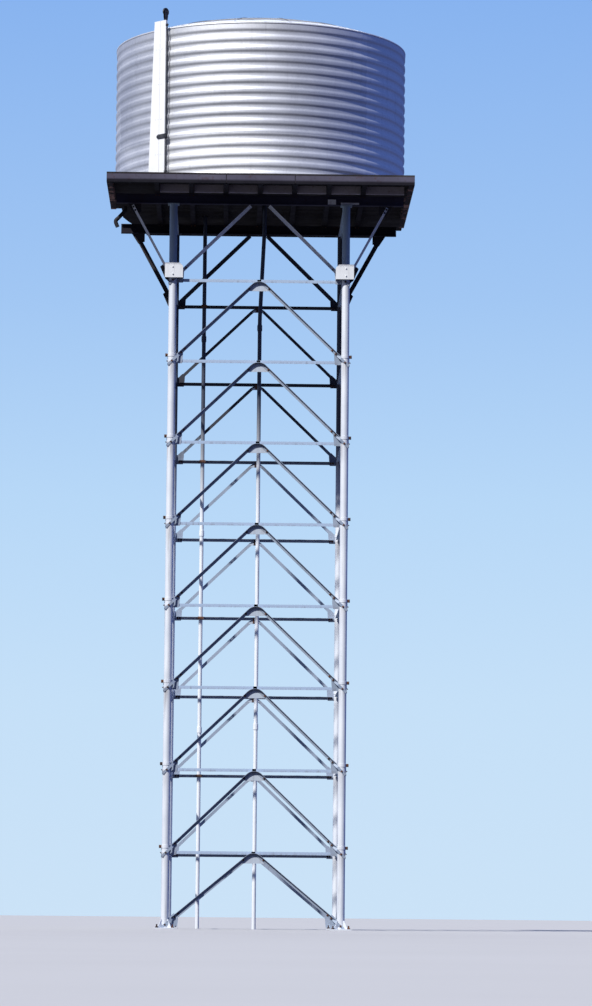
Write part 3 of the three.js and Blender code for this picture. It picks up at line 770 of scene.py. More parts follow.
def wave_radius(drop):
    """The outside of the corrugation, at a drop below the rim: broad crests, short steep flanks."""
    if drop < FIRST_CREST:
        return TANK_RADIUS
    swing = cos(2 * pi * (drop - FIRST_CREST) / WAVE_PITCH)
    squared = tanh(WAVE_SHARPNESS * swing) / tanh(WAVE_SHARPNESS)
    return TANK_RADIUS - WAVE_DEPTH / 2 * (1 - squared)


def sheet_grid(shape, angles, lifts, drops, inset):
    """Outer and inner skins of one curved sheet, closed round its edges."""
    rows, columns = len(drops), len(angles)
    skin = rows * columns
    points = []
    for depth in (inset, inset + SHEET_THICKNESS):
        for drop in drops:
            base = wave_radius(drop) - depth
            points += [on_wall(base + lift, angle, drop) for angle, lift in zip(angles, lifts)]
    faces = []
    for r in range(rows - 1):
        for c in range(columns - 1):
            a = r * columns + c
            quad = (a, a + 1, a + columns + 1, a + columns)
            faces += [quad, [skin + i for i in reversed(quad)]]
    start = shape.add(points, faces, True)
    border = list(range(columns)) + [r * columns + columns - 1 for r in range(1, rows)]
    border += [(rows - 1) * columns + c for c in reversed(range(columns - 1))]
    border += [r * columns for r in reversed(range(1, rows - 1))]
    shape.link(start, [(a, b, skin + b, skin + a) for a, b in zip(border, border[1:] + border[:1])])


def wall_rings():
    """Number, top and bottom of each ring of sheet, as drops below the rim."""
    ends = [0.0] + [FIRST_CREST + n * WAVE_PITCH for n in RING_CRESTS] + [WALL_HEIGHT]
    return [(number, top, bottom) for number, (top, bottom) in enumerate(zip(ends, ends[1:]))]


def seam_angle(sheet, ring):
    shift = LOWER_SEAM_SHIFT if ring > 1 else 0.0
    return FIRST_SEAM + shift + 2 * pi * sheet / WALL_SHEETS


def wall_sheet(sheet):
    """Rings of corrugated sheet; each laps over its neighbour and over the ring below."""
    lap = LAP_WIDTH / TANK_RADIUS
    shape = Shape()
    for ring, top, bottom in wall_rings():
        first = seam_angle(sheet, ring)
        last = first + 2 * pi / WALL_SHEETS
        angles = [first + (last - first) * i / SHEET_STEPS for i in range(SHEET_STEPS)]
        angles += [last + lap * share for share, _ in LAP_PROFILE]
        lifts = [0.0] * SHEET_STEPS + [lift for _, lift in LAP_PROFILE]
        start = top - (WAVE_PITCH / 2 if ring else 0.0)
        steps = round((bottom - start) / WAVE_PITCH * WAVE_STEPS)
        drops = [start + (bottom - start) * i / steps for i in range(steps + 1)]
        sheet_grid(shape, angles, lifts, drops, ring * LAP_LIFT)
    return shape


def wall_rivet(shape, angle, drop, lift):
    dome(shape, on_wall(wave_radius(drop) + lift, angle, drop), radial(angle), RIVET_RADIUS)


def wall_rivets():
    """A rivet on every crest of the upright laps, and a row along every level lap."""
    shape = Shape()
    rings = wall_rings()
    for sheet in range(WALL_SHEETS):
        for ring, top, bottom in rings:
            angle = seam_angle(sheet, ring) + LAP_WIDTH / 2 / TANK_RADIUS
            crest = FIRST_CREST
            while crest < bottom - RIVET_CLEAR:
                if crest > top + RIVET_CLEAR:
                    wall_rivet(shape, angle, crest, LAP_LIFT * (1 - ring))
                crest += WAVE_PITCH
    for ring, top, bottom in rings[:-1]:
        for i in range(RIVETS_AROUND):
            wall_rivet(shape, 2 * pi * (i + 0.5) / RIVETS_AROUND, bottom - RIVET_EDGE, -LAP_LIFT * ring)
    return shape


def roof_height(radius):
    return RIM + ROOF_EDGE + ROOF_RISE * (1 - (radius / TANK_RADIUS) ** 2)


def rib_angle(number):
    return 2 * pi * (number + 0.5) / ROOF_PANELS


def roof_skin():
    """The dome's sheet, with a small eye under the cap and a flat outer edge."""
    shape = Shape()
    edge = TANK_RADIUS - OVERLAP
    reach = [edge * (1 - i / ROOF_STEPS) for i in range(ROOF_STEPS)] + [ROOF_EYE]
    profile = [(radius, roof_height(radius)) for radius in reach]
    under = [(radius, z - ROOF_SKIN) for radius, z in reversed(profile)]
    shape.loft(turned(profile + under, ROOF_SIDES), True, capped=False)
    last = (len(profile + under) - 1) * ROOF_SIDES
    pairs = [(i, (i + 1) % ROOF_SIDES) for i in range(ROOF_SIDES)]
    shape.link(0, [(last + i, last + j, j, i) for i, j in pairs])
    return shape


def roof_ribs():
    """Ribs from the cap to the rim, and the cap over their inner ends."""
    shape = Shape()
    half = RIB_WIDTH / 2
    section = [(-half, 0), (half, 0), (half / 2, RIB_HEIGHT), (-half / 2, RIB_HEIGHT)]
    inner, outer = RIB_REACH
    for number in range(ROOF_PANELS):
        turn = Matrix.Rotation(rib_angle(number), 3, "Z")
        rings = []
        for i in range(ROOF_STEPS + 1):
            radius = inner + (outer - inner) * i / ROOF_STEPS
            z = roof_height(radius) - RIB_SINK
            rings.append([turn @ Vector((radius, u, z + v)) for u, v in section])
        shape.loft(rings)
    base = roof_height(CAP_PROFILE[0][0])
    shape.loft(turned([(radius, base + rise) for radius, rise in CAP_PROFILE], CAP_SIDES))
    return shape


def roof_edge_ring():
    """A rolled steel ring round the rim, closing the roof's edge."""
    shape = Shape()
    inner, outer = EDGE_RING_INNER, TANK_RADIUS + EDGE_RING_PROUD
    low, high = RIM - EDGE_RING_LAP, RIM + ROOF_EDGE
    profile = [(inner, low), (outer, low), (outer, high), (inner, high + EDGE_RING_LAP)]
    shape.hoop(turned(profile, EDGE_RING_SIDES), True)
    return shape


def roof_bolts():
    """Domed bolts round the edge ring, and a row on each side of every rib."""
    shape = Shape()
    for i in range(EDGE_BOLTS):
        out = radial(2 * pi * (i + 0.25) / EDGE_BOLTS)
        place = out * (TANK_RADIUS + EDGE_RING_PROUD) + UP * (RIM + EDGE_BOLT_RISE)
        dome(shape, place, out, ROOF_BOLT_RADIUS)
    count, first, pitch = RIB_BOLTS
    for number in range(ROOF_PANELS):
        out = radial(rib_angle(number))
        for side in (-1, 1):
            across = Vector((-out.y, out.x, 0)) * side * RIB_WIDTH * RIB_BOLT_SHARE
            for i in range(count):
                radius = first + i * pitch
                dome(shape, out * radius + across + UP * roof_height(radius), UP, ROOF_BOLT_RADIUS)
    return shape


def hatch():
    """A curb, a crowned lid with turned-down edges, two hinges and a handle."""
    shape = Shape()
    y, top = HATCH_DISTANCE, HATCH_TOP
    low = roof_height(y + HATCH_HALF) - CURB_SINK
    block(shape, (-CURB_HALF, y - CURB_HALF, low), (CURB_HALF, y + CURB_HALF, top - CURB_DROP))
    rings = []
    for share, rise in LID_PROFILE:
        half = HATCH_HALF * share
        rings += upright(rectangle((-half, y - half), (half, y + half)), [top + rise])
    shape.loft(rings)
    hatch_hinges(shape, y - HATCH_HALF, top)
    hatch_handle(shape, y + HATCH_HALF * HANDLE_SHARE, top)
    return shape


def hatch_hinges(shape, y, top):
    """A pin in front of the lid's edge, and a leaf on the lid, for each hinge."""
    radius, half, front, drop = HINGE_PIN
    leaf_half, length, leaf_top, leaf_foot = HINGE_LEAF
    for x in HINGES:
        rod(shape, (x - half, y - front, top - drop), (x + half, y - front, top - drop), radius)
        block(shape, (x - leaf_half, y, top - leaf_foot), (x + leaf_half, y + length, top - leaf_top))


def hatch_handle(shape, y, top):
    """Two posts and a grip."""
    foot, grip, head = (top - drop for drop in HANDLE_HEIGHTS)
    for x in (-HANDLE_HALF, HANDLE_HALF):
        rod(shape, (x, y, foot), (x, y, head), HANDLE_RADIUS, 8)
    reach = HANDLE_HALF + HANDLE_RADIUS
    rod(shape, (-reach, y, grip), (reach, y, grip), HANDLE_RADIUS, 8)


def add_tank():
    for number, walls in enumerate(WALLS_BEHIND_SHEETS):
        nodes = [f"tank_wall_{i}" for i in walls]
        piece(f"tank_sheet_{number + 1}", wall_sheet(number), ZINC, stands_for=nodes)
    # The rivets take the legs' finish. They all sit above 9.75 m, so they wear its painted shade colour
    # all over.
    piece("tank_rivets", wall_rivets(), LEGS_WITH_PAINTED_SHADE)
    piece("roof_skin", roof_skin(), ROOF_ZINC, stands_for=["tank_roof"])
    piece("roof_ribs", roof_ribs(), ROOF_ZINC)
    piece("roof_edge_ring", roof_edge_ring(), ROOF_ZINC)
    piece("roof_bolts", roof_bolts(), ROOF_ZINC)
    piece("hatch_lid", hatch(), ROOF_ZINC, stands_for=["roof_hatch"])


def deck_left_edge(y):
    if y < DECK_INSET_START:
        return -PLATFORM_HALF
    if y < DECK_CORNER_START:
        return DECK_INSET_X
    share = (y - DECK_CORNER_START) / (PLATFORM_HALF - DECK_CORNER_START)
    return DECK_INSET_X + share * (DECK_CORNER_X - DECK_INSET_X)


def board_outline(low, high, left_trim, right_trim):
    """A board's outline from above, notched where a pipe passes its edge."""
    middle = (low + high) / 2
    if middle > DECK_CORNER_START:
        left = [deck_left_edge(low), deck_left_edge(high)]
    else:
        left = [deck_left_edge(middle)] * 2
    right = PLATFORM_HALF - right_trim
    bottom = [(left[0] + left_trim, low)]
    top = [(left[1] + left_trim, high)]
    for x, y in sorted(PIPE_HOLES):
        x0, x1 = x - PIPE_HOLE_HALF, x + PIPE_HOLE_HALF
        y0, y1 = y - PIPE_HOLE_HALF, y + PIPE_HOLE_HALF
        if y0 <= low < y1:
            bottom += [(x0, low), (x0, min(y1, high)), (x1, min(y1, high)), (x1, low)]
        elif low < y0 < high:
            top += [(x0, high), (x0, y0), (x1, y0), (x1, high)]
    return bottom + [(right, low), (right, high)] + top[::-1]


def deck_boards():
    """Boards with uneven ends and tops; the outermost two keep the platform's full width."""
    shape = Shape()
    draw = random.Random(SEED)
    last = BOARD_COUNT - 1
    for i in range(BOARD_COUNT):
        low = -PLATFORM_HALF + i * BOARD_PITCH
        high = low + BOARD_PITCH - (BOARD_GAP if i < last else 0)
        trims = [draw.uniform(0.0, BOARD_TRIM), draw.uniform(0.0, BOARD_TRIM)]
        if i in (0, last):
            trims = [0.0, 0.0]
        sink = draw.uniform(0.0, BOARD_SINK)
        shape.loft(upright(board_outline(low, high, *trims), (DECK_BOTTOM + DECK_LIFT, DECK_TOP - sink)))
    return shape


def joist_places():
    return [(i - (JOIST_COUNT - 1) / 2) * JOIST_SPACING for i in range(JOIST_COUNT)]


def blocking():
    """Short cross pieces between the joists, a little behind the front edge."""
    shape = Shape()
    places = joist_places()
    clear = JOIST_FLANGE / 2 + BLOCKING_GAP
    spans = [(a + clear, b - clear) for a, b in zip(places, places[1:])]
    spans.append((places[-1] + clear, PLATFORM_HALF - BLOCKING_END))
    bottom = JOIST_BOTTOM + BLOCKING_GAP
    front, back = BLOCKING_Y, BLOCKING_Y + BLOCKING_DEPTH
    web = front + BLOCKING_WEB
    for low, high in spans:
        block(shape, (low, front, bottom), (high, web, DECK_BOTTOM - OVERLAP))
        block(shape, (low, web, bottom), (high, back, bottom + BLOCKING_FLANGE))
    return shape


def front_channels():
    """Three lengths of channel along the front edge, open to the back."""
    shape = Shape()
    front, back = -PLATFORM_HALF, EDGE_FLANGE - PLATFORM_HALF
    low, high = JOIST_BOTTOM, DECK_BOTTOM
    web, foot, head = front + EDGE_WEB, low + EDGE_WEB, high - EDGE_WEB
    section = [(back, low), (front, low), (front, high), (back, high)]
    section += [(back, head), (web, head), (web, foot), (back, foot)]
    ends = [-PLATFORM_HALF, *FRONT_JOINTS, PLATFORM_HALF]
    for start, end in zip(ends, ends[1:]):
        low_x = start + (JOINT_GAP / 2 if start in FRONT_JOINTS else 0.0)
        high_x = end - (JOINT_GAP / 2 if end in FRONT_JOINTS else 0.0)
        shape.loft([[(x, y, z) for y, z in section] for x in (low_x, high_x)])
    return shape


def channel_splices():
    """A plate behind the web at each joint of the front channels, with four bolts."""
    shape = Shape()
    web = EDGE_WEB - PLATFORM_HALF
    low, high = JOIST_BOTTOM + EDGE_WEB + SPLICE_GAP, DECK_BOTTOM - EDGE_WEB - SPLICE_GAP
    reach, inset = SPLICE_BOLTS
    for x in FRONT_JOINTS:
        block(shape, (x - SPLICE_HALF, web, low), (x + SPLICE_HALF, web + EDGE_WEB, high))
        for u in (-reach, reach):
            for z in (low + inset, high - inset):
                bolt(shape, (x + u, web + EDGE_WEB, z), BACKWARD, *SMALL_BOLT)
    return shape


def bearer_packers():
    """Two pale packers in the front bearer's channel, over the right leg."""
    shape = Shape()
    web, front = LEG_HALF_SPAN + PACKER_WEB, LEG_HALF_SPAN + BEARER_HALF_FLANGE + PACKER_PROUD
    for left, right, top in PACKERS:
        block(shape, (left, -front, PACKER_FOOT), (right, -web, top))
    return shape


def joist_bolts():
    """Four bolts under every crossing of a joist and a bearer."""
    shape = Shape()
    from_bearer, from_joist = BEARER_BOLTS
    z = JOIST_BOTTOM - BEARER_FLANGE_THICKNESS
    for x in joist_places():
        for side in (-1, 1):
            for y in (LEG_HALF_SPAN - from_bearer, LEG_HALF_SPAN + from_bearer):
                for u in (-from_joist, from_joist):
                    bolt(shape, (x + u, side * y, z), -UP, *SMALL_BOLT)
    return shape


def add_platform():
    piece("deck_planks", deck_boards(), BOARDS, stands_for=["platform_deck"])
    piece("joist_blocking", blocking(), FADED_PAINT)
    piece("joist_bolts", joist_bolts(), RUSTED)
    piece("bearer_packers", bearer_packers(), CLEAT_STEEL)
    channels = front_channels()
    piece("front_channels", channels, EDGE_PAINT, stands_for=["front_edge_beam"])
    piece("channel_splices", channel_splices(), BLACKENED_AND_SHADE)
    repaint("front_bearer", BEARER_PAINT)
    repaint("back_bearer", DARK_PAINT_AND_SHADE)
    repaint("left_edge_beam", RUSTY_EDGE)
    repaint("right_edge_beam", RUSTY_EDGE)
    repaint("back_edge_beam", BLACKENED_AND_SHADE)
    repaint("tank_floor", ZINC)
    for number in range(JOIST_COUNT):
        repaint(f"joist_{number + 1}", DARK_PAINT_AND_SHADE)


def leg(x, y):
    """A pipe with its base plate, cap plate, weld and stiffeners, and a plain band at every level."""
    shape = Shape()
    foot, head = BASE_PLATE_THICKNESS, LEG_TOP - CAP_PLATE_THICKNESS
    shape.loft(turned([(LEG_RADIUS, foot), (LEG_RADIUS, head)], LEG_SIDES, x, y), True)
    for half, low, high in ((BASE_PLATE_HALF, 0, foot), (CAP_PLATE_HALF, head, LEG_TOP)):
        block(shape, (x - half, y - half, low), (x + half, y + half, high))
    out, up = WELD
    shape.loft(turned([(LEG_RADIUS + out, foot), (LEG_RADIUS, foot + up)], LEG_SIDES, x, y), True)
    stiffeners(shape, x, y)
    outer = LEG_RADIUS + CLAMP_THICKNESS
    for level in LEVELS:
        low, high = level + CLAMP_RISE, level + CLAMP_RISE + CLAMP_HEIGHT
        profile = [(LEG_RADIUS, low), (outer, low), (outer, high), (LEG_RADIUS, high)]
        shape.hoop(turned(profile, LEG_SIDES, x, y))
    return shape


def stiffeners(shape, x, y):
    """Four upright plates between a leg and its base plate, on the plate's diagonals."""
    for quarter in range(4):
        spin = Matrix.Rotation(pi / 4 + quarter * pi / 2, 3, "Z")
        rings = []
        for side in (-STIFFENER_HALF, STIFFENER_HALF):
            ring = [(LEG_RADIUS - OVERLAP + u, side, BASE_PLATE_THICKNESS + v) for u, v in STIFFENER]
            rings.append([spin @ Vector(place) + Vector((x, y, 0)) for place in ring])
        shape.loft(rings)


def leg_fittings(x, y):
    """Anchor bolts at the foot, and two bolted lugs on the outer edge of every band."""
    shape = Shape()
    inset = BASE_PLATE_HALF - ANCHOR_INSET
    for u in (-inset, inset):
        for v in (-inset, inset):
            foot = Vector((x + u, y + v, BASE_PLATE_THICKNESS))
            bolt(shape, foot, UP, ANCHOR_RADIUS, ANCHOR_HEAD)
            top = foot + UP * (WASHER + ANCHOR_HEAD)
            rod(shape, top, top + UP * ANCHOR_ROD, ANCHOR_RADIUS / 2, 8)
    outward = Vector((copysign(1, x), 0, 0))
    half = CLAMP_HEIGHT / 2
    bolt_reach, bolt_height = LUG_BOLT
    for level in LEVELS:
        middle = Vector((x, y, level + CLAMP_RISE + half))
        for side in (-BACKWARD, BACKWARD):
            near = middle + outward * (LEG_RADIUS - OVERLAP) + side * LUG_GAP
            far = near + outward * LUG_REACH
            extrude(shape, rectangle((-LUG_HALF, -half), (LUG_HALF, half)), near, far)
            bolt(shape, near + outward * bolt_reach + side * LUG_HALF, side, BOLT_RADIUS, bolt_height)
    return shape


def side_place(turn, x, out, z):
    """A point on a side of the stand: along it, out from its legs' axes, and up."""
    c, s = cos(turn), sin(turn)
    y = -(LEG_HALF_SPAN + out)
    return Vector((x * c - y * s, x * s + y * c, z))


def side_out(turn, sign=1):
    """The direction out of a side of the stand, or into it."""
    return side_place(turn, 0, sign, 0) - side_place(turn, 0, 0, 0)


def side_bar(shape, turn, path, width, outer):
    """An angle bar along a path, on the outer or inner face of the plates, its flange turned away."""
    sign = 1 if outer else -1
    outward = side_out(turn)
    away = outward * sign
    half = width / 2
    inner = half - BAR_THICKNESS
    corners = [(0, -half), (BAR_THICKNESS, -half), (BAR_THICKNESS, inner)]
    corners += [(width, inner), (width, half), (0, half)]
    places = [side_place(turn, x, sign * GUSSET_THICKNESS / 2, z) for x, z in path]
    rings = []
    for i, place in enumerate(places):
        before, after = places[max(i - 1, 0)], places[min(i + 1, len(places) - 1)]
        upward = outward.cross((after - before).normalized())
        if upward.z < 0:
            upward = -upward
        rings.append([place + away * u + upward * v for u, v in corners])
    shape.loft(rings)


def side_plate(shape, turn, corners, out=0.0, thickness=GUSSET_THICKNESS):
    rings = []
    for face in (-thickness / 2, thickness / 2):
        rings.append([side_place(turn, x, out + face, z) for x, z in corners])
    shape.loft(rings)


def side_bolt(shape, turn, x, z, outer=True):
    """A bolt on the outer or inner face of a bar."""
    sign = 1 if outer else -1
    face = sign * (GUSSET_THICKNESS / 2 + BAR_THICKNESS)
    bolt(shape, side_place(turn, x, face, z), side_out(turn, sign))


def trimmed(start, end, from_start, from_end):
    """The line from start to end, shortened at each end."""
    unit = (Vector(end) - Vector(start)).normalized()
    return [tuple(Vector(start) + unit * from_start), tuple(Vector(end) - unit * from_end)]


def bend(apex, slope):
    """The round bend in the middle of an inverted V whose straight parts would meet at the apex."""
    angle = atan(slope)
    centre = apex - BEND_RADIUS / cos(angle)
    turns = [angle * (2 * i / BEND_STEPS - 1) for i in range(BEND_STEPS + 1)]
    return [(BEND_RADIUS * sin(a), centre + BEND_RADIUS * cos(a)) for a in turns]


def leg_gusset(shape, bolts, turn, side, level, has_bar):
    """The plate at a leg that carries a horizontal's end and a diagonal's foot."""
    side_plate(shape, turn, [(side * (LEG_HALF_SPAN - u), level + v) for u, v in LEG_GUSSET])
    if has_bar:
        for u in GUSSET_BOLTS:
            side_bolt(bolts, turn, side * (LEG_HALF_SPAN - u), level, False)


def foot_strap(shape, bolts, turn, side, level, slope):
    """A formed strap that takes a diagonal's foot across the face of the leg to its far edge."""
    near = GUSSET_THICKNESS / 2 + BAR_THICKNESS + STRAP_THICKNESS / 2
    far = LEG_RADIUS + STRAP_THICKNESS / 2
    along = Vector((side, 0, -slope)).normalized()
    spin = Matrix.Rotation(turn, 3, "Z")
    outward = spin @ -BACKWARD
    upward = spin @ Vector((-along.z * side, 0, along.x * side))
    section = rectangle((-STRAP_THICKNESS / 2, -STRAP_WIDTH / 2), (STRAP_THICKNESS / 2, STRAP_WIDTH / 2))

    def middle(u, out):
        place = side_place(turn, side * (LEG_HALF_SPAN - u), out, level + u * slope)
        return place - upward * BAR_THICKNESS

    rings = []
    for u, out in zip(STRAP_REACH, (near, near, far, far)):
        rings.append([middle(u, out) + outward * a + upward * b for a, b in section])
    shape.loft(rings)
    for u, out in zip(STRAP_BOLTS, (near, near, far)):
        bolt(bolts, middle(u, out + STRAP_THICKNESS / 2), outward)


def apex_gusset(plates, bolts, turn, level, slope):
    """The small plate behind the bend of an inverted V, and the tab that clamps it to the horizontal."""
    half, foot = FRONT_APEX_PLATE if turn == 0 else APEX_PLATE
    top = [point for point in bend(level + APEX_RISE, slope) if abs(point[0]) < half]
    side_plate(plates, turn, [(-half, level + foot)] + top + [(half, level + foot)])
    tab = [(x, level + z) for x, z in rectangle(*APEX_TAB)]
    side_plate(bolts, turn, tab, -GUSSET_THICKNESS)
    reach = half * APEX_BOLT_SHARE
    for x in (-reach, reach):
        side_bolt(bolts, turn, x, level + APEX_RISE - reach * slope)
    side_bolt(bolts, turn, 0.0, level, False)


def braced_side(turn, top_apex, has_top_bar, top_width):
    """Bars, rails, plates and bolts of one side: an inverted V and a horizontal rail in each bay."""
    bars, rails, plates, bolts = Shape(), Shape(), Shape(), Shape()
    reach = LEG_HALF_SPAN - LEG_RADIUS - RAIL_GAP
    end = LEG_HALF_SPAN - BAR_END
    for foot, level in zip([LOWEST_FOOT] + LEVELS, LEVELS + [top_apex]):
        slope = (level + APEX_RISE - foot) / LEG_HALF_SPAN
        foot_height = foot + BAR_END * slope
        for side in (-1, 1):
            leg_gusset(bars, bolts, turn, side, foot, foot > LOWEST_FOOT)
            foot_strap(bars, bolts, turn, side, foot, slope)
        if level == top_apex and not has_top_bar:
            head_height = LEG_TOP - HIDDEN_HEAD_DROP
            head = LEG_HALF_SPAN - (head_height - foot) / slope
            for side in (-1, 1):
                path = [(side * end, foot_height), (side * head, head_height)]
                side_bar(bars, turn, path, top_width, True)
        else:
            path = [(-end, foot_height)] + bend(level + APEX_RISE, slope) + [(end, foot_height)]
            side_bar(bars, turn, path, BAR_WIDTH, True)
            side_bar(rails, turn, [(-reach, level), (reach, level)], BAR_WIDTH, False)
            apex_gusset(plates, bolts, turn, level, slope)
    return bars, rails, plates, bolts


def knee_brace(side, turn, width):
    """An angle bar from the leg's top joint out to the bearer, and its end plates with their bolts."""
    bars, plates = Shape(), Shape()
    foot, head = (LEG_HALF_SPAN, LEVELS[-1]), (KNEE_REACH, LEG_TOP)
    slope = (head[1] - foot[1]) / (head[0] - foot[0])
    path = trimmed((side * foot[0], foot[1]), (side * head[0], head[1]), *KNEE_TRIMS)
    side_bar(bars, turn, path, width, True)
    for end, corners in ((foot, KNEE_FOOT_PLATE), (head, KNEE_HEAD_PLATE)):
        side_plate(plates, turn, [(side * (end[0] + u), end[1] + v) for u, v in corners])
    for u in KNEE_FOOT_BOLTS:
        side_bolt(plates, turn, side * (foot[0] + u), foot[1] + u * slope)
    for v in KNEE_HEAD_BOLTS:
        side_bolt(plates, turn, side * (head[0] - v / slope), head[1] - v)
    return bars, plates


def front_plate(side):
    """A pale box cleat in front of a leg at the top joint: a face and two returns behind it."""
    left, right, low, high = FRONT_PLATE
    level = LEVELS[-1]
    cut = high - FRONT_PLATE_CUT
    shape = Shape()
    corners = [(left, low), (right, low), (right, cut), (right - FRONT_PLATE_CUT, high), (left, high)]
    face = [(side * (LEG_HALF_SPAN - u), level + v) for u, v in corners]
    side_plate(shape, 0.0, face, FRONT_PLATE_OUT, FRONT_PLATE_THICKNESS)
    front = -(LEG_HALF_SPAN + FRONT_PLATE_OUT - FRONT_PLATE_THICKNESS / 2)
    back = -(LEG_HALF_SPAN + GUSSET_THICKNESS / 2)
    for u, top in ((left, high), (right - FRONT_PLATE_THICKNESS, cut)):
        ends = sorted(side * (LEG_HALF_SPAN - u - depth) for depth in (0, FRONT_PLATE_THICKNESS))
        block(shape, (ends[0], front, level + low), (ends[1], back, level + top))
    from_bottom, from_top = FRONT_PLATE_BOLTS
    for z in (level + low + from_bottom, level + high - from_top):
        middle = side_place(0.0, side * LEG_HALF_SPAN, FRONT_PLATE_OUT + FRONT_PLATE_THICKNESS / 2, z)
        bolt(shape, middle, -BACKWARD)
        in_leg = side_place(0.0, side * LEG_HALF_SPAN, LEG_RADIUS - OVERLAP, z)
        rod(shape, middle, in_leg, FRONT_PLATE_ROD)
    return shape


def add_corner(place, side_x, side_y):
    """A leg with its fittings and knee brace, and at the front its cleat."""
    x, y = side_x * LEG_HALF_SPAN, side_y * LEG_HALF_SPAN
    # Front knee bars are pale: painted light. Back knee bars are near black: painted shade.
    if side_y < 0:
        looks = (LEGS_WITH_PAINTED_SHADE, CLEAT_STEEL)
        bars, plates = knee_brace(side_x, 0.0, FRONT_KNEE_WIDTH)
    else:
        looks = (BACK_LEGS_WITH_PAINTED_SHADE, BLACKENED_AND_SHADE)
        bars, plates = knee_brace(-side_x, pi, BACK_KNEE_WIDTH)
    piece(f"leg_pipe_{place}", leg(x, y), looks[0], stands_for=[f"leg_{place}"])
    piece(f"leg_fittings_{place}", leg_fittings(x, y), RUSTED)
    piece(f"knee_bar_{place}", bars, looks[1], stands_for=[f"knee_brace_{place}"])
    # Every knee plate is near black: painted shade.
    piece(f"knee_plates_{place}", plates, BLACKENED_AND_SHADE)
    if side_y < 0:
        piece(f"front_cleat_{place}", front_plate(side_x), CLEAT_STEEL)


def add_side(name, quarter_turns, apex, has_top_bar, top_width, bar_finish, rail_finish):
    bars, rails, plates, bolts = braced_side(quarter_turns * pi / 2, apex, has_top_bar, top_width)
    piece(f"{name}_braces", bars, bar_finish, stands_for=[f"{name}_bracing"])
    piece(f"{name}_rails", rails, rail_finish)
    piece(f"{name}_apex_plates", plates, PLATE_STEEL)
    piece(f"{name}_brace_bolts", bolts, RUSTED)


def add_stand():
    add_corner("front_left", -1, -1)
    add_corner("front_right", 1, -1)
    add_corner("back_left", -1, 1)
    add_corner("back_right", 1, 1)
    bearer_apex = LEG_TOP + TOP_APEX_RISE
    side_apex = LEG_TOP - SIDE_APEX_DROP
    # Front bars turn pale over the top bay as painted light; the back's bars and rails turn near black
    # high up as painted shade.
    add_side("front", 0, bearer_apex, False, BAR_WIDTH, FRONT_BARS_PAINTED_LIGHT, RAIL_STEEL)
    add_side("right", 1, side_apex, True, BAR_WIDTH, SIDE_BARS, RAIL_STEEL)
    add_side("back", 2, bearer_apex, False, BACK_TOP_BAR_WIDTH, BACK_BARS_PAINTED_SHADE, BACK_BARS_PAINTED_SHADE)
    add_side("left", 3, side_apex, True, BAR_WIDTH, SIDE_BARS, RAIL_STEEL)


def board_left(z):
    share = (z - BOARD_FOOT) / (BOARD_TOP - BOARD_FOOT)
    return BOARD_RIGHT - BOARD_FOOT_WIDTH + share * (BOARD_FOOT_WIDTH - BOARD_TOP_WIDTH)


def batten_heights():
    low = BOARD_FOOT + BATTEN_INSET
    step = (RIM - BATTEN_INSET - low) / (BATTENS - 1)
    return [low + i * step for i in range(BATTENS)]


def gauge_board():
    """Two upright planks side by side on battens, with a block behind their tops."""
    shape = Shape()
    foot, top, right, back = BOARD_FOOT, BOARD_TOP, BOARD_RIGHT, -BOARD_BATTEN
    low_x, high_x = PLANK_SPLIT - PLANK_HALF_GAP, PLANK_SPLIT + PLANK_HALF_GAP
    left_plank = [(board_left(foot), foot), (low_x, foot), (low_x, top), (board_left(top), top)]
    right_plank = rectangle((high_x, foot), (right, top))
    for outline in (left_plank, right_plank):
        shape.loft([[(x, y, z) for x, z in outline] for y in (BOARD_FRONT, back)])
    for z in batten_heights():
        block(shape, (-BATTEN_HALF, back, z), (BATTEN_HALF, -PLANK_HALF_GAP, z + BAR_WIDTH))
    height, left_inset, right_inset = BOARD_HEAD
    low = (board_left(top) + left_inset, back, top - height)
    block(shape, low, (right - right_inset, back + BOARD_THICKNESS, top))
    return shape.moved(GAUGE_FRAME)


def gauge_screws():
    shape = Shape()
    for z in batten_heights():
        for x in SCREWS:
            dome(shape, (x, BOARD_FRONT, z + BAR_WIDTH / 2), -BACKWARD, SCREW_RADIUS)
    return shape.moved(GAUGE_FRAME)


def gauge_guide():
    """The upright rod that the pointer slides on, and its two end lugs."""
    shape = Shape()
    low, high = BOARD_FOOT + GUIDE_INSET, BOARD_TOP - GUIDE_INSET
    rod(shape, (GUIDE_X, GUIDE_Y, low), (GUIDE_X, GUIDE_Y, high), GUIDE_RADIUS, 16)
    half, height = GUIDE_LUG
    end = GUIDE_X + half
    for z in (low, high - height):
        block(shape, (BOARD_RIGHT + GUIDE_LUG_GAP, GUIDE_Y - half, z), (end, GUIDE_Y + half, z + height))
        bolt(shape, (end, GUIDE_Y, z + height / 2), (1, 0, 0), *GUIDE_BOLT)
    return shape.moved(GAUGE_FRAME)


def bored_block(shape, x, y, low, high):
    """The pointer's square slider, with the round upright hole that runs on the guide."""
    inner = circle(SLIDER_BORE, SLIDER_SIDES)
    outer = []
    for u, v in circle(1.0, SLIDER_SIDES):
        reach = SLIDER_HALF / max(abs(u), abs(v))
        outer.append((u * reach, v * reach))
    rings = []
    for ring, z in ((inner, low), (outer, low), (outer, high), (inner, high)):
        rings.append([(x + u, y + v, z) for u, v in ring])
    shape.hoop(rings)


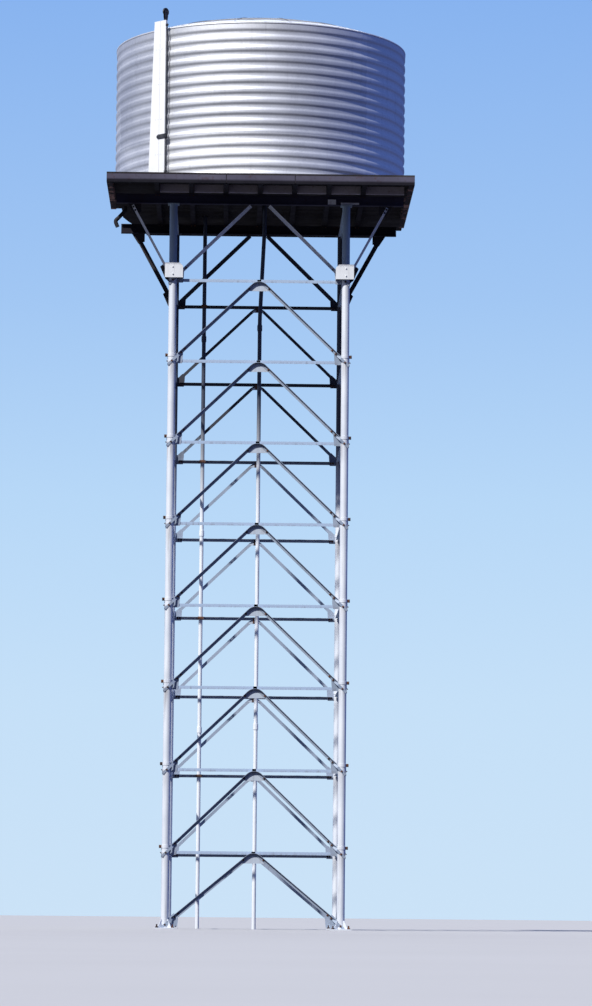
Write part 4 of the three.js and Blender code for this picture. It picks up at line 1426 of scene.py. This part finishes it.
def gauge_pointer():
    """A slider on the guide and a flat blade that tapers to a point over the board."""
    shape = Shape()
    low, high = POINTER_Z - POINTER_HEIGHT / 2, POINTER_Z + POINTER_HEIGHT / 2
    bored_block(shape, GUIDE_X, GUIDE_Y, low, high)
    front = GUIDE_Y - SLIDER_HALF
    tip = GUIDE_X - POINTER_LENGTH
    root = GUIDE_X - SLIDER_HALF + OVERLAP / 2
    taper, half = POINTER_TIP
    outline = [(tip, POINTER_Z - half), (tip + taper, low), (root, low)]
    outline += [(root, high), (tip + taper, high), (tip, POINTER_Z + half)]
    shape.loft([[(x, y, z) for x, z in outline] for y in (front, front + POINTER_THICKNESS)])
    for rise in POINTER_BOLTS:
        bolt(shape, (GUIDE_X, front, POINTER_Z + rise), -BACKWARD, *POINTER_BOLT)
    return shape.moved(GAUGE_FRAME)


def along_axle(profile, sides):
    """A ring for each (radius, offset) point of a profile, round the pulley's axle."""
    x, y, z = WHEEL_CENTRE
    return [[(x + offset, y + u, z + v) for u, v in circle(radius, sides)] for radius, offset in profile]


def pulley_wheel():
    """A grooved rim, a hub, and a dished web with raised ribs."""
    shape = Shape()
    half = WHEEL_HALF_WIDTH
    groove = WHEEL_GROOVE + [(radius, -share) for radius, share in reversed(WHEEL_GROOVE[:-1])]
    rim = [(radius, share * half) for radius, share in groove]
    bore, outside = WHEEL_HUB
    hub = [(bore, -half), (outside, -half), (outside, half), (bore, half)]
    for profile, smooth in ((rim, True), (WHEEL_WEB, False), (hub, False)):
        shape.hoop(along_axle(profile, WHEEL_SIDES), smooth)
    u, v = WHEEL_RIB_HALF
    count, first, inner, outer = WHEEL_RIBS
    centre = Vector(WHEEL_CENTRE)
    for i in range(count):
        angle = 2 * pi * i / count + first
        out = Vector((0, cos(angle), sin(angle)))
        ends = (centre + out * inner, centre + out * outer)
        extrude(shape, rectangle((-u, -v), (u, v)), *ends, (1, 0, 0))
    return shape.moved(GAUGE_FRAME)


def pulley_bracket():
    """A foot on the board's top, two cheeks that widen round the axle, and the axle between them."""
    shape = Shape()
    x, y, z = WHEEL_CENTRE
    foot, thickness = CHEEK_FOOT
    high = (x + CHEEK_OUTER, y + foot, BOARD_TOP + thickness)
    block(shape, (x - CHEEK_OUTER, y - foot, BOARD_TOP), high)
    half = [(foot, BOARD_TOP - z)] + CHEEK_SIDE
    outline = half + [(-u, v) for u, v in reversed(half)]
    for side in (-1, 1):
        rings = []
        for offset in (CHEEK_INNER, CHEEK_OUTER):
            rings.append([(x + side * offset, y + u, z + v) for u, v in outline])
        shape.loft(rings)
        bolt(shape, (x + side * CHEEK_OUTER, y, z), (side, 0, 0), *CHEEK_BOLT)
    shape.loft(along_axle([(AXLE_RADIUS, -CHEEK_OUTER), (AXLE_RADIUS, CHEEK_OUTER)], AXLE_SIDES), True)
    return shape.moved(GAUGE_FRAME)


def add_gauge():
    piece("gauge_planks", gauge_board(), WHITE, "tower", ["gauge_board"], BOARD_BEVEL)
    piece("gauge_screws", gauge_screws(), ZINC)
    piece("gauge_rod", gauge_guide(), BLACK, stands_for=["gauge_guide"])
    piece("pointer_blade", gauge_pointer(), BLACK, "pointer", ["gauge_pointer"])
    piece("pulley_cheeks", pulley_bracket(), BLACK, stands_for=["pulley_bracket"])
    piece("pulley_sheave", pulley_wheel(), BLACK, "pulley", ["pulley_wheel"])


def tube(shape, path):
    """A pipe through points that all lie in one plane across Y."""
    rings = []
    for i, place in enumerate(path):
        before, after = path[max(i - 1, 0)], path[min(i + 1, len(path) - 1)]
        normal = BACKWARD.cross((after - before).normalized())
        rings.append([place + BACKWARD * u + normal * v for u, v in circle(PIPE_RADIUS, PIPE_SIDES)])
    shape.loft(rings, True)


def softened(corners, y):
    """Rounds the corners of a path of (x, z) points."""
    reach, steps = RISER_BEND
    path = [Vector((x, y, z)) for x, z in corners]
    points = [path[0]]
    for a, b, c in zip(path, path[1:], path[2:]):
        start = b + (a - b).normalized() * reach
        end = b + (c - b).normalized() * reach
        for i in range(steps + 1):
            t = i / steps
            points.append(start * (1 - t) ** 2 + b * 2 * t * (1 - t) + end * t * t)
    return points + [path[-1]]


def smooth_between(a, b, c, d, t):
    """A value between b and c, at a share t, on the smooth curve through a, b, c and d."""
    rise = (c - a) * t + (2 * a - 5 * b + 4 * c - d) * t * t + (3 * b - a - 3 * c + d) * t**3
    return 0.5 * (2 * b + rise)


def curve_through(corners, y):
    """A smooth curve through (x, z) points."""
    padded = [corners[0]] + corners + [corners[-1]]
    points = []
    for four in zip(padded, padded[1:], padded[2:], padded[3:]):
        for i in range(DRAIN_STEPS):
            x, z = (smooth_between(*values, i / DRAIN_STEPS) for values in zip(*four))
            points.append(Vector((x, y, z)))
    return points + [Vector((corners[-1][0], y, corners[-1][1]))]


def couplings(shape, x, y, top):
    """Stepped sleeves up a pipe, evenly spaced from the ground."""
    z = COUPLING_SPACING
    while z < top:
        for half, proud in COUPLING_STEPS:
            rod(shape, (x, y, z - half), (x, y, z + half), PIPE_RADIUS + proud, PIPE_SIDES)
        z += COUPLING_SPACING


def pipe_brackets():
    """Straps that tie the outlet pipe to the back bracing, and a short arm near its top."""
    shape = Shape()
    x, y = OUTLET
    half = BRACKET_HALF
    inner = half - BRACKET_BAR
    for level in LEVELS[1::2]:
        low, high = level - BRACKET_RISE, level + BRACKET_RISE
        for left, right in ((-half, -inner), (inner, half)):
            block(shape, (x + left, y - BRACKET_BACK, low), (x + right, LEG_HALF_SPAN - BRACKET_END, high))
        front = y - PIPE_RADIUS - BRACKET_CLEAR
        block(shape, (x - half, y - half, low), (x + half, front, high))
    low, high = STUB
    block(shape, (x + low[0], y + low[1], low[2]), (x + high[0], y + high[1], high[2]))
    return shape


def add_pipes():
    riser, outlet, drain = Shape(), Shape(), Shape()
    tube(riser, softened(RISER_PATH, 0.0))
    couplings(riser, RISER_PATH[0][0], 0.0, RISER_PATH[1][1])
    tube(outlet, [Vector((*OUTLET, 0)), Vector((*OUTLET, DECK_TOP))])
    couplings(outlet, *OUTLET, LEG_TOP)
    tube(drain, curve_through([(x, DECK_BOTTOM + height) for x, height in DRAIN_PATH], DRAIN_Y))
    # Both pipes turn dark above about 7 m: painted shade.
    piece("riser_tube", riser, PIPE_STEEL_PAINTED_SHADE, stands_for=["riser_pipe"])
    piece("outlet_tube", outlet, PIPE_STEEL_PAINTED_SHADE, stands_for=["outlet_pipe"])
    piece("pipe_brackets", pipe_brackets(), RUSTED)
    piece("drain_hook", drain, BLACKENED_AND_SHADE, stands_for=["drain_elbow"])


def add_floor():
    """A wide pale floor that throws no light back up at the tower."""
    mesh = bpy.data.meshes.new("studio_floor")
    reach = FLOOR_REACH
    corners = [(x, y, 0) for x, y in rectangle((-reach, -reach), (reach, reach))]
    mesh.from_pydata(corners, [], [(0, 1, 2, 3)])
    mesh.materials.append(pale_ground())
    floor = placed("studio_floor", mesh)
    floor.visible_diffuse = False
    floor.visible_glossy = False


def direction(azimuth, elevation):
    """Towards a lamp: azimuth in degrees from the front round to the left, elevation above the floor."""
    a, e = radians(azimuth), radians(elevation)
    return Vector((-sin(a) * cos(e), -cos(a) * cos(e), sin(e)))


def add_lamp(name, azimuth, elevation, energy, spread, colour):
    data = bpy.data.lights.new(name, "SUN")
    data.energy = energy
    data.angle = radians(spread)
    data.color = colour
    lamp = placed(name, data)
    lamp.rotation_mode = "QUATERNION"
    lamp.rotation_quaternion = direction(azimuth, elevation).to_track_quat("Z", "Y")


def ramp(nodes, value, stops):
    """A colour that follows a value through (value, colour) stops."""
    low, high = stops[0][0], stops[-1][0]
    made = nodes.node("ValToRGB", Fac=nodes.span(value, low, high))
    points = made.color_ramp.elements
    for at, _ in stops[1:-1]:
        points.new((at - low) / (high - low))
    for point, (_, colour) in zip(points, stops):
        point.color = (*colour, 1.0)
    return made.outputs["Color"]


def add_world():
    """A dim blue fill with brighter panels, and a pale blue backdrop that only the camera sees."""
    world = bpy.data.worlds.new("studio")
    bpy.context.scene.world = world
    world.use_nodes = True
    nodes = Nodes(world.node_tree)
    towards = nodes.node("TexCoord").outputs["Generated"]
    height = nodes.split(towards)["Z"]
    light = ramp(nodes, height, SKY_STOPS)
    for azimuth, elevation, stops in PANELS:
        nearness = nodes.vectors("DOT_PRODUCT", towards, direction(azimuth, elevation))["Value"]
        light = nodes.vectors("ADD", light, ramp(nodes, nearness, stops))["Vector"]
    fill = nodes.tree.nodes["Background"]
    nodes.feed(fill.inputs["Color"], light)
    backdrop = nodes.node("Background", Color=ramp(nodes, height, BACKDROP_STOPS))
    choice = nodes.node("MixShader")
    sources = (nodes.node("LightPath").outputs["Is Camera Ray"], fill.outputs[0], backdrop.outputs[0])
    for socket, source in zip(choice.inputs, sources):
        nodes.feed(socket, source)
    nodes.feed(nodes.tree.nodes["World Output"].inputs["Surface"], choice.outputs[0])


def add_camera():
    data = bpy.data.cameras.new("camera")
    data.sensor_width = CAMERA_SENSOR
    data.lens = CAMERA_LENS
    data.clip_end = CAMERA_REACH
    camera = placed("camera", data)
    bpy.context.scene.camera = camera
    yaw, pitch, roll = CAMERA_YAW, CAMERA_PITCH, CAMERA_ROLL
    forward = Vector((sin(yaw) * cos(pitch), cos(yaw) * cos(pitch), sin(pitch)))
    right = Vector((cos(yaw), -sin(yaw), 0))
    upward = right.cross(forward)
    level_right = right * cos(roll) + upward * sin(roll)
    level_up = upward * cos(roll) - right * sin(roll)
    axes = Matrix((level_right, level_up, -forward)).transposed()
    camera.matrix_world = Matrix.Translation(CAMERA_PLACE) @ axes.to_4x4()
    bpy.context.scene.view_settings.view_transform = "Standard"


add_stand()
add_platform()
add_tank()
add_gauge()
add_pipes()
add_floor()
for lamp in LAMPS:
    add_lamp(*lamp)
add_world()
add_camera()
